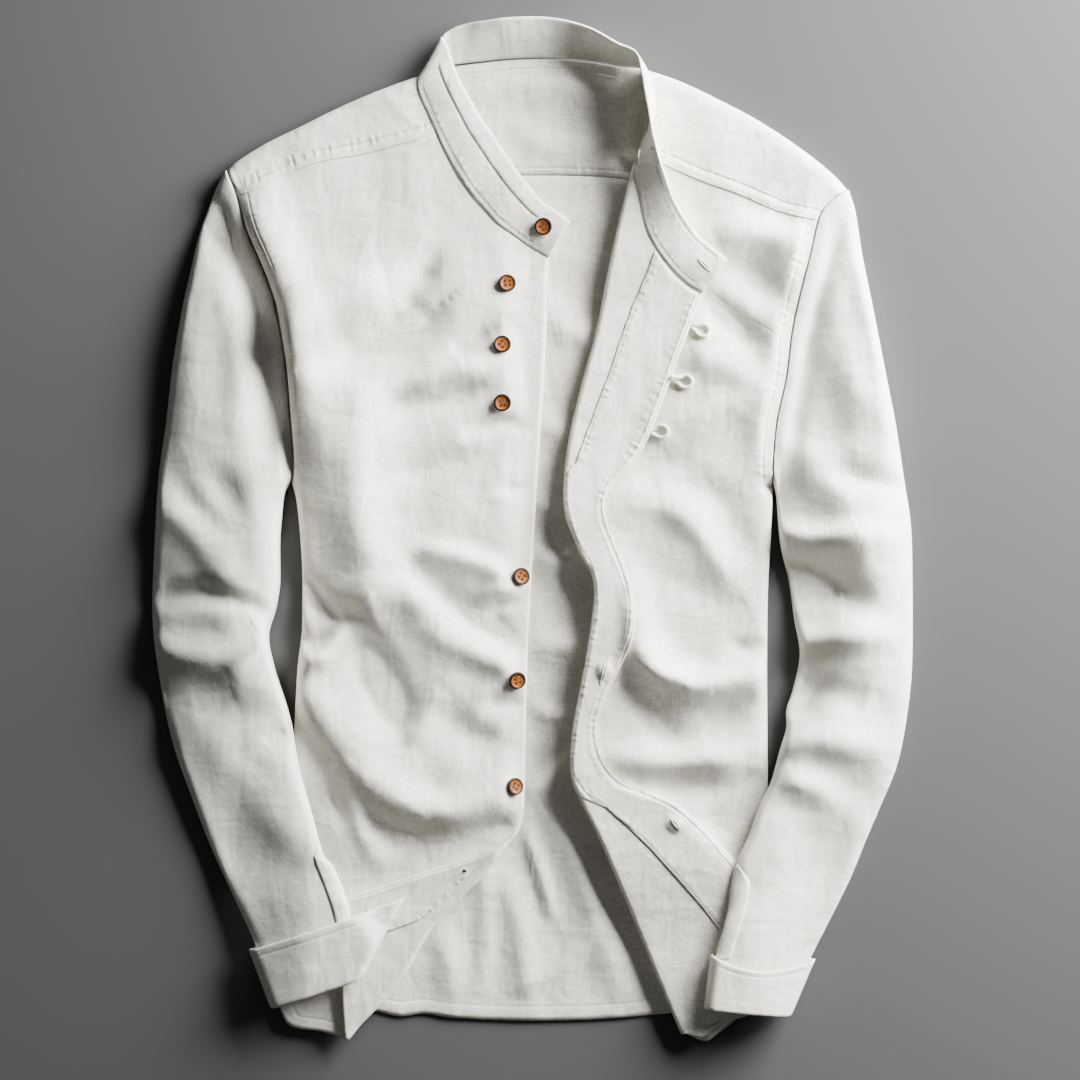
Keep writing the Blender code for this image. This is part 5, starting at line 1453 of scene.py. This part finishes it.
def fourPegs(radius, spread, depth, middle, segments):
    # an upright peg in each of a button's holes
    bm = bmesh.new()
    spread = spread * button["holeSpread"] * mm
    for x, y in ((-1, -1), (1, -1), (-1, 1), (1, 1)):
        made = bmesh.ops.create_cone(bm, cap_ends=True, segments=segments, radius1=radius * mm,
                                     radius2=radius * mm, depth=depth)
        bmesh.ops.translate(bm, verts=made["verts"], vec=(x * spread, y * spread, middle))
    return bm


def pierce(thing, pegs, turn, place):
    setDown(pegs, turn, place)
    cutter = addObject("drill", meshFrom("drill", pegs))
    cut = thing.modifiers.new("holes", "BOOLEAN")
    cut.operation = "DIFFERENCE"
    cut.solver = "EXACT"
    cut.object = cutter
    pierced = bakedMesh(thing)
    thing.modifiers.clear()
    thing.data = pierced
    bpy.data.objects.remove(cutter)


# each loop: two places on the front's edge with its root halfway, and the point it reaches to
loopRows = [(115.2, 149.8, 113.6, 142, 127.5, 140.6), (100.3, 113, 97.4, 103.7, 115.3, 105),
            (88, 74.2, 82.2, 66.3, 98, 70.6)]
loop = {
    "radius": 1.5,
    "halfWidth": 4.3,         # of the ring, to the middle of the cord
    "halfLength": 5.0,
    "foot": 1.3,              # the cord's two ends are sewn in this far from the middle
    "open": 2.55,             # half of the angle that the ring goes round, in radians
    "clear": 0.4,
    "steps": 64,
}


def layCord(name, route, radius, steps, finish, node=None):
    # a round cord along a smooth curve through the points of the route
    line = Line(route, 6)
    curve = bpy.data.curves.new(name, "CURVE")
    curve.dimensions = "3D"
    curve.bevel_depth = radius * mm
    curve.bevel_resolution = 3
    curve.use_fill_caps = True
    spline = curve.splines.new("POLY")
    spline.points.add(steps)
    for k, point in enumerate(spline.points):
        point.co = (*(line.at(k / steps) * mm), 1)
    guide = addObject("cordGuide", curve)
    mesh = bakedMesh(guide)
    bpy.data.objects.remove(guide)
    bm = bmesh.new()
    bm.from_mesh(mesh)
    tidyFaces(bm)
    finishPiece(name, bm, finish, node)


def makeLoops():
    trees = surfaceOf("frontLeft", "facingLeft")
    for number, (x0, y0, x1, y1, reachX, reachY) in enumerate(loopRows, 1):
        root = np.array([(x0 + x1) / 2, (y0 + y1) / 2])
        axis = np.array([reachX, reachY]) - root
        across = np.array([-axis[1], axis[0]]) / np.linalg.norm(axis)
        ahead = axis / np.linalg.norm(axis)
        centre = np.array([reachX, reachY]) - ahead * (loop["halfLength"] + loop["radius"])
        long, wide = ahead * loop["halfLength"], across * loop["halfWidth"]
        ring = [centre + long * math.cos(a) + wide * math.sin(a)
                for a in np.linspace(-loop["open"], loop["open"], 17)]
        foot = across * loop["foot"]
        route = [(x, y, dropOn(trees, x, y)[0].z / mm + loop["radius"] + loop["clear"])
                 for x, y in [root - foot] + ring + [root + foot]]
        # the cord bridges small hollows
        heights = np.convolve([route[0][2]] * 2 + [p[2] for p in route] + [route[-1][2]] * 2,
                              np.ones(5) / 5, "valid")
        route = [(x, y, max(z, smoothZ)) for (x, y, z), smoothZ in zip(route, heights)]
        layCord(f"loop{number}", route, loop["radius"], loop["steps"], cottonFinish, f"loop_{number}")
    print("made the loops")


knot = {
    "place": (-49, -244),
    "radius": 1.5,
    "flattened": (1, 0.85, 0.4),
}


def makeKnot():
    # the thread of the last button, on the wrong side of the turned corner
    bm = bmesh.new()
    bmesh.ops.create_uvsphere(bm, u_segments=16, v_segments=8, radius=knot["radius"] * mm)
    bmesh.ops.scale(bm, verts=bm.verts, vec=knot["flattened"])
    hit = dropOn(surfaceOf("facingRight", "frontRight"), *knot["place"])
    bmesh.ops.translate(bm, verts=bm.verts, vec=hit[0])
    finishPiece("cornerKnot", bm, brownThreadAndHoleShade)


stitch = {
    "pitch": 2.3,
    "length": 0.85,           # half of one stitch
    "radius": 0.3,
    "stand": 0.35,            # share of the radius that its middle stands above the cloth
}


def stitchRow(name, path, trees, start=0.0, end=1.0):
    # a row of small beads on the cloth, between two shares of a line's length
    count = int(path.length * (end - start) / stitch["pitch"])
    seed = bmesh.new()
    bmesh.ops.create_icosphere(seed, subdivisions=1, radius=1)
    thin = stitch["radius"] * mm
    bmesh.ops.scale(seed, verts=seed.verts, vec=(stitch["length"] * mm, thin, thin))
    bead = meshFrom("bead", seed)
    row = bmesh.new()
    for k in range(count):
        share = start + (end - start) * (k + 0.5) / count
        here, ahead = path.at(share), path.at(share + 0.5 / path.length)
        hit = dropOn(trees, here[0], here[1])
        if not hit:
            continue
        earlier = len(row.verts)
        row.from_mesh(bead)
        row.verts.ensure_lookup_table()
        along = Vector((*(ahead - here)[:2], 0))
        along = (along - hit[1] * along.dot(hit[1])).normalized()
        turn = Matrix((along, hit[1].cross(along), hit[1])).transposed()
        setDown(row, turn, hit[0] + hit[1] * stitch["radius"] * stitch["stand"] * mm,
                row.verts[earlier:])
    finishPiece(name, row, threadFinish)


def makeStitches():
    fronts = surfaceOf("frontRight", "shoulderYoke", "frontLeft")
    flap, inside = surfaceOf("facingLeft", "frontLeft"), surfaceOf("shoulderYoke", "backPanel")
    for row in [
            ("yokeStitchRight", yokeFronts[-1].beside(2.4), fronts, 0, 0.97),
            ("yokeStitchRightUpper", yokeFronts[-1].beside(7.2), fronts, 0, 0.95),
            ("yokeStitchLeft", yokeFronts[1].beside(-2.4), fronts, 0, 0.9),
            ("yokeStitchLeftUpper", yokeFronts[1].beside(-7.2), fronts, 0, 0.88),
            ("armholeStitchRight", armholeTop.beside(-6.5), fronts, 0.08, 0.94),
            ("armholeStitchLeft", armholes[1].beside(6.5), fronts, 0.06, 0.92),
            ("facingStitch", facingSeamLeft.beside(2), flap, 0, 0.96),
            ("facingStitchLow", facingSeamLeftLow.beside(2), flap, 0, 0.97),
            ("cornerFacingStitch", facingSeamRight.beside(-2), surfaceOf("facingRight"), 0.02, 0.9),
            ("edgeStitch", frontEdgeLine.beside(-5.6), flap, 0.01, 0.98),
            ("hemStitch", hemBack.beside(back["hemWidth"]), surfaceOf("backPanel"), 0.3, 0.9),
            ("neckBindingStitch", neckBinding.beside(-1.5), inside, 0, 0.98),
            ("yokeInsideStitch", yokeBackLine.beside(1.6), inside, 0.3, 0.9),
            ("yokeInsideStitchUpper", yokeBackLine.beside(8), inside, 0.3, 0.9)]:
        stitchRow(*row)
    for number, line in enumerate(bandLines):
        stitchRow(f"bandStitch{number}", line, surfaceOf("collarBand"))
    print("made the stitches")


buttonholeEdge = {
    "halfWidth": 0.95,
    "radius": 0.55,
    "clear": 0.25,
    "steps": 90,
}


def makeButtonholes():
    trees = surfaceOf("collarBand", "facingLeft", "frontLeft")
    for number, (x0, y0, x1, y1) in enumerate(buttonholes, 1):
        a, b = np.array([x0, y0]), np.array([x1, y1])
        along, middle = unit(b - a), (a + b) / 2
        across = np.array([-along[1], along[0]]) * buttonholeEdge["halfWidth"]
        half = along * np.linalg.norm(b - a) / 2
        route = []
        for angle in np.linspace(0, 2 * math.pi, 25)[:-1]:
            point = middle + half * math.cos(angle) + across * math.sin(angle)
            route.append((*point, dropOn(trees, *point)[0].z / mm + buttonholeEdge["clear"]))
        layCord(f"buttonhole{number}", route + route[:1], buttonholeEdge["radius"],
                buttonholeEdge["steps"], threadFinish)
    print("made the buttonholes")


makeBack()
makeYoke()
cornerPoints = makeFrontRight()
flapPoints, facingShown = makeFrontLeft()
makeFacing("facingLeft", "facing_left", flapPoints,
           facingShown[1:])
makeFacing("facingRight", "facing_right", cornerPoints,
           np.ones(len(cornerPoints) - facing["tip"]))
bandLines = makeCollar()
for side, name, ending in ((-1, "Right", "right"), (1, "Left", "left")):
    makeSleeve(side, f"sleeve{name}", f"sleeve_{ending}")
    makePlacket(side, f"placket{name}", f"placket_{ending}")
for side, name, ending in ((-1, "Right", "right"), (1, "Left", "left")):
    makeCuff(side, f"cuff{name}", f"cuff_{ending}")
bpy.context.view_layer.update()
makeButtons()
makeLoops()
makeKnot()
makeStitches()
makeButtonholes()

studio = {
    "floor": (0.084, 0.084, 0.0855),
    "floorHalf": 4,           # metres
    "floorDrop": 0.0003,      # the floor lies this far below the shirt, in metres
    "key": 220,               # one large soft lamp, low at the upper right
    "keyPlace": (1.0, 0.72, 0.28),
    "keySize": 1.05,
    "world": 0.075,
    "view": 777.6,            # side of the square that the camera sees
    "viewCentre": (5.04, -7.2),
    "lens": 100,
    "sensor": 36,
}


def makeStudio():
    bm = bmesh.new()
    bmesh.ops.create_grid(bm, x_segments=2, y_segments=2, size=studio["floorHalf"])
    bmesh.ops.translate(bm, verts=bm.verts, vec=(0, 0, -studio["floorDrop"]))
    mesh = meshFrom("floor", bm)
    paper, _, _ = newMaterial("floorPaper", {"Base Color": (*studio["floor"], 1), "Roughness": 0.95,
                                             "Specular IOR Level": 0.1})
    mesh.materials.append(paper)
    floor = addObject("floor", mesh)
    light = bpy.data.lights.new("keyLight", "AREA")
    light.energy = studio["key"]
    light.size = studio["keySize"]
    lamp = addObject("keyLight", light)
    lamp.location = studio["keyPlace"]
    lamp.rotation_euler = (-Vector(studio["keyPlace"])).to_track_quat("-Z", "Y").to_euler()
    world = bpy.data.worlds.new("studio")
    world.use_nodes = True
    fill(world.node_tree, world.node_tree.nodes["Background"],
         {"Color": (1, 1, 1, 1), "Strength": studio["world"]})
    bpy.context.scene.world = world
    data = bpy.data.cameras.new("camera")
    data.lens = studio["lens"]
    data.sensor_width = studio["sensor"]
    camera = addObject("camera", data)
    distance = studio["view"] / 2 / math.tan(data.angle / 2)
    camera.location = Vector((*studio["viewCentre"], distance)) * mm
    bpy.context.scene.camera = camera


makeStudio()
print("studio made")
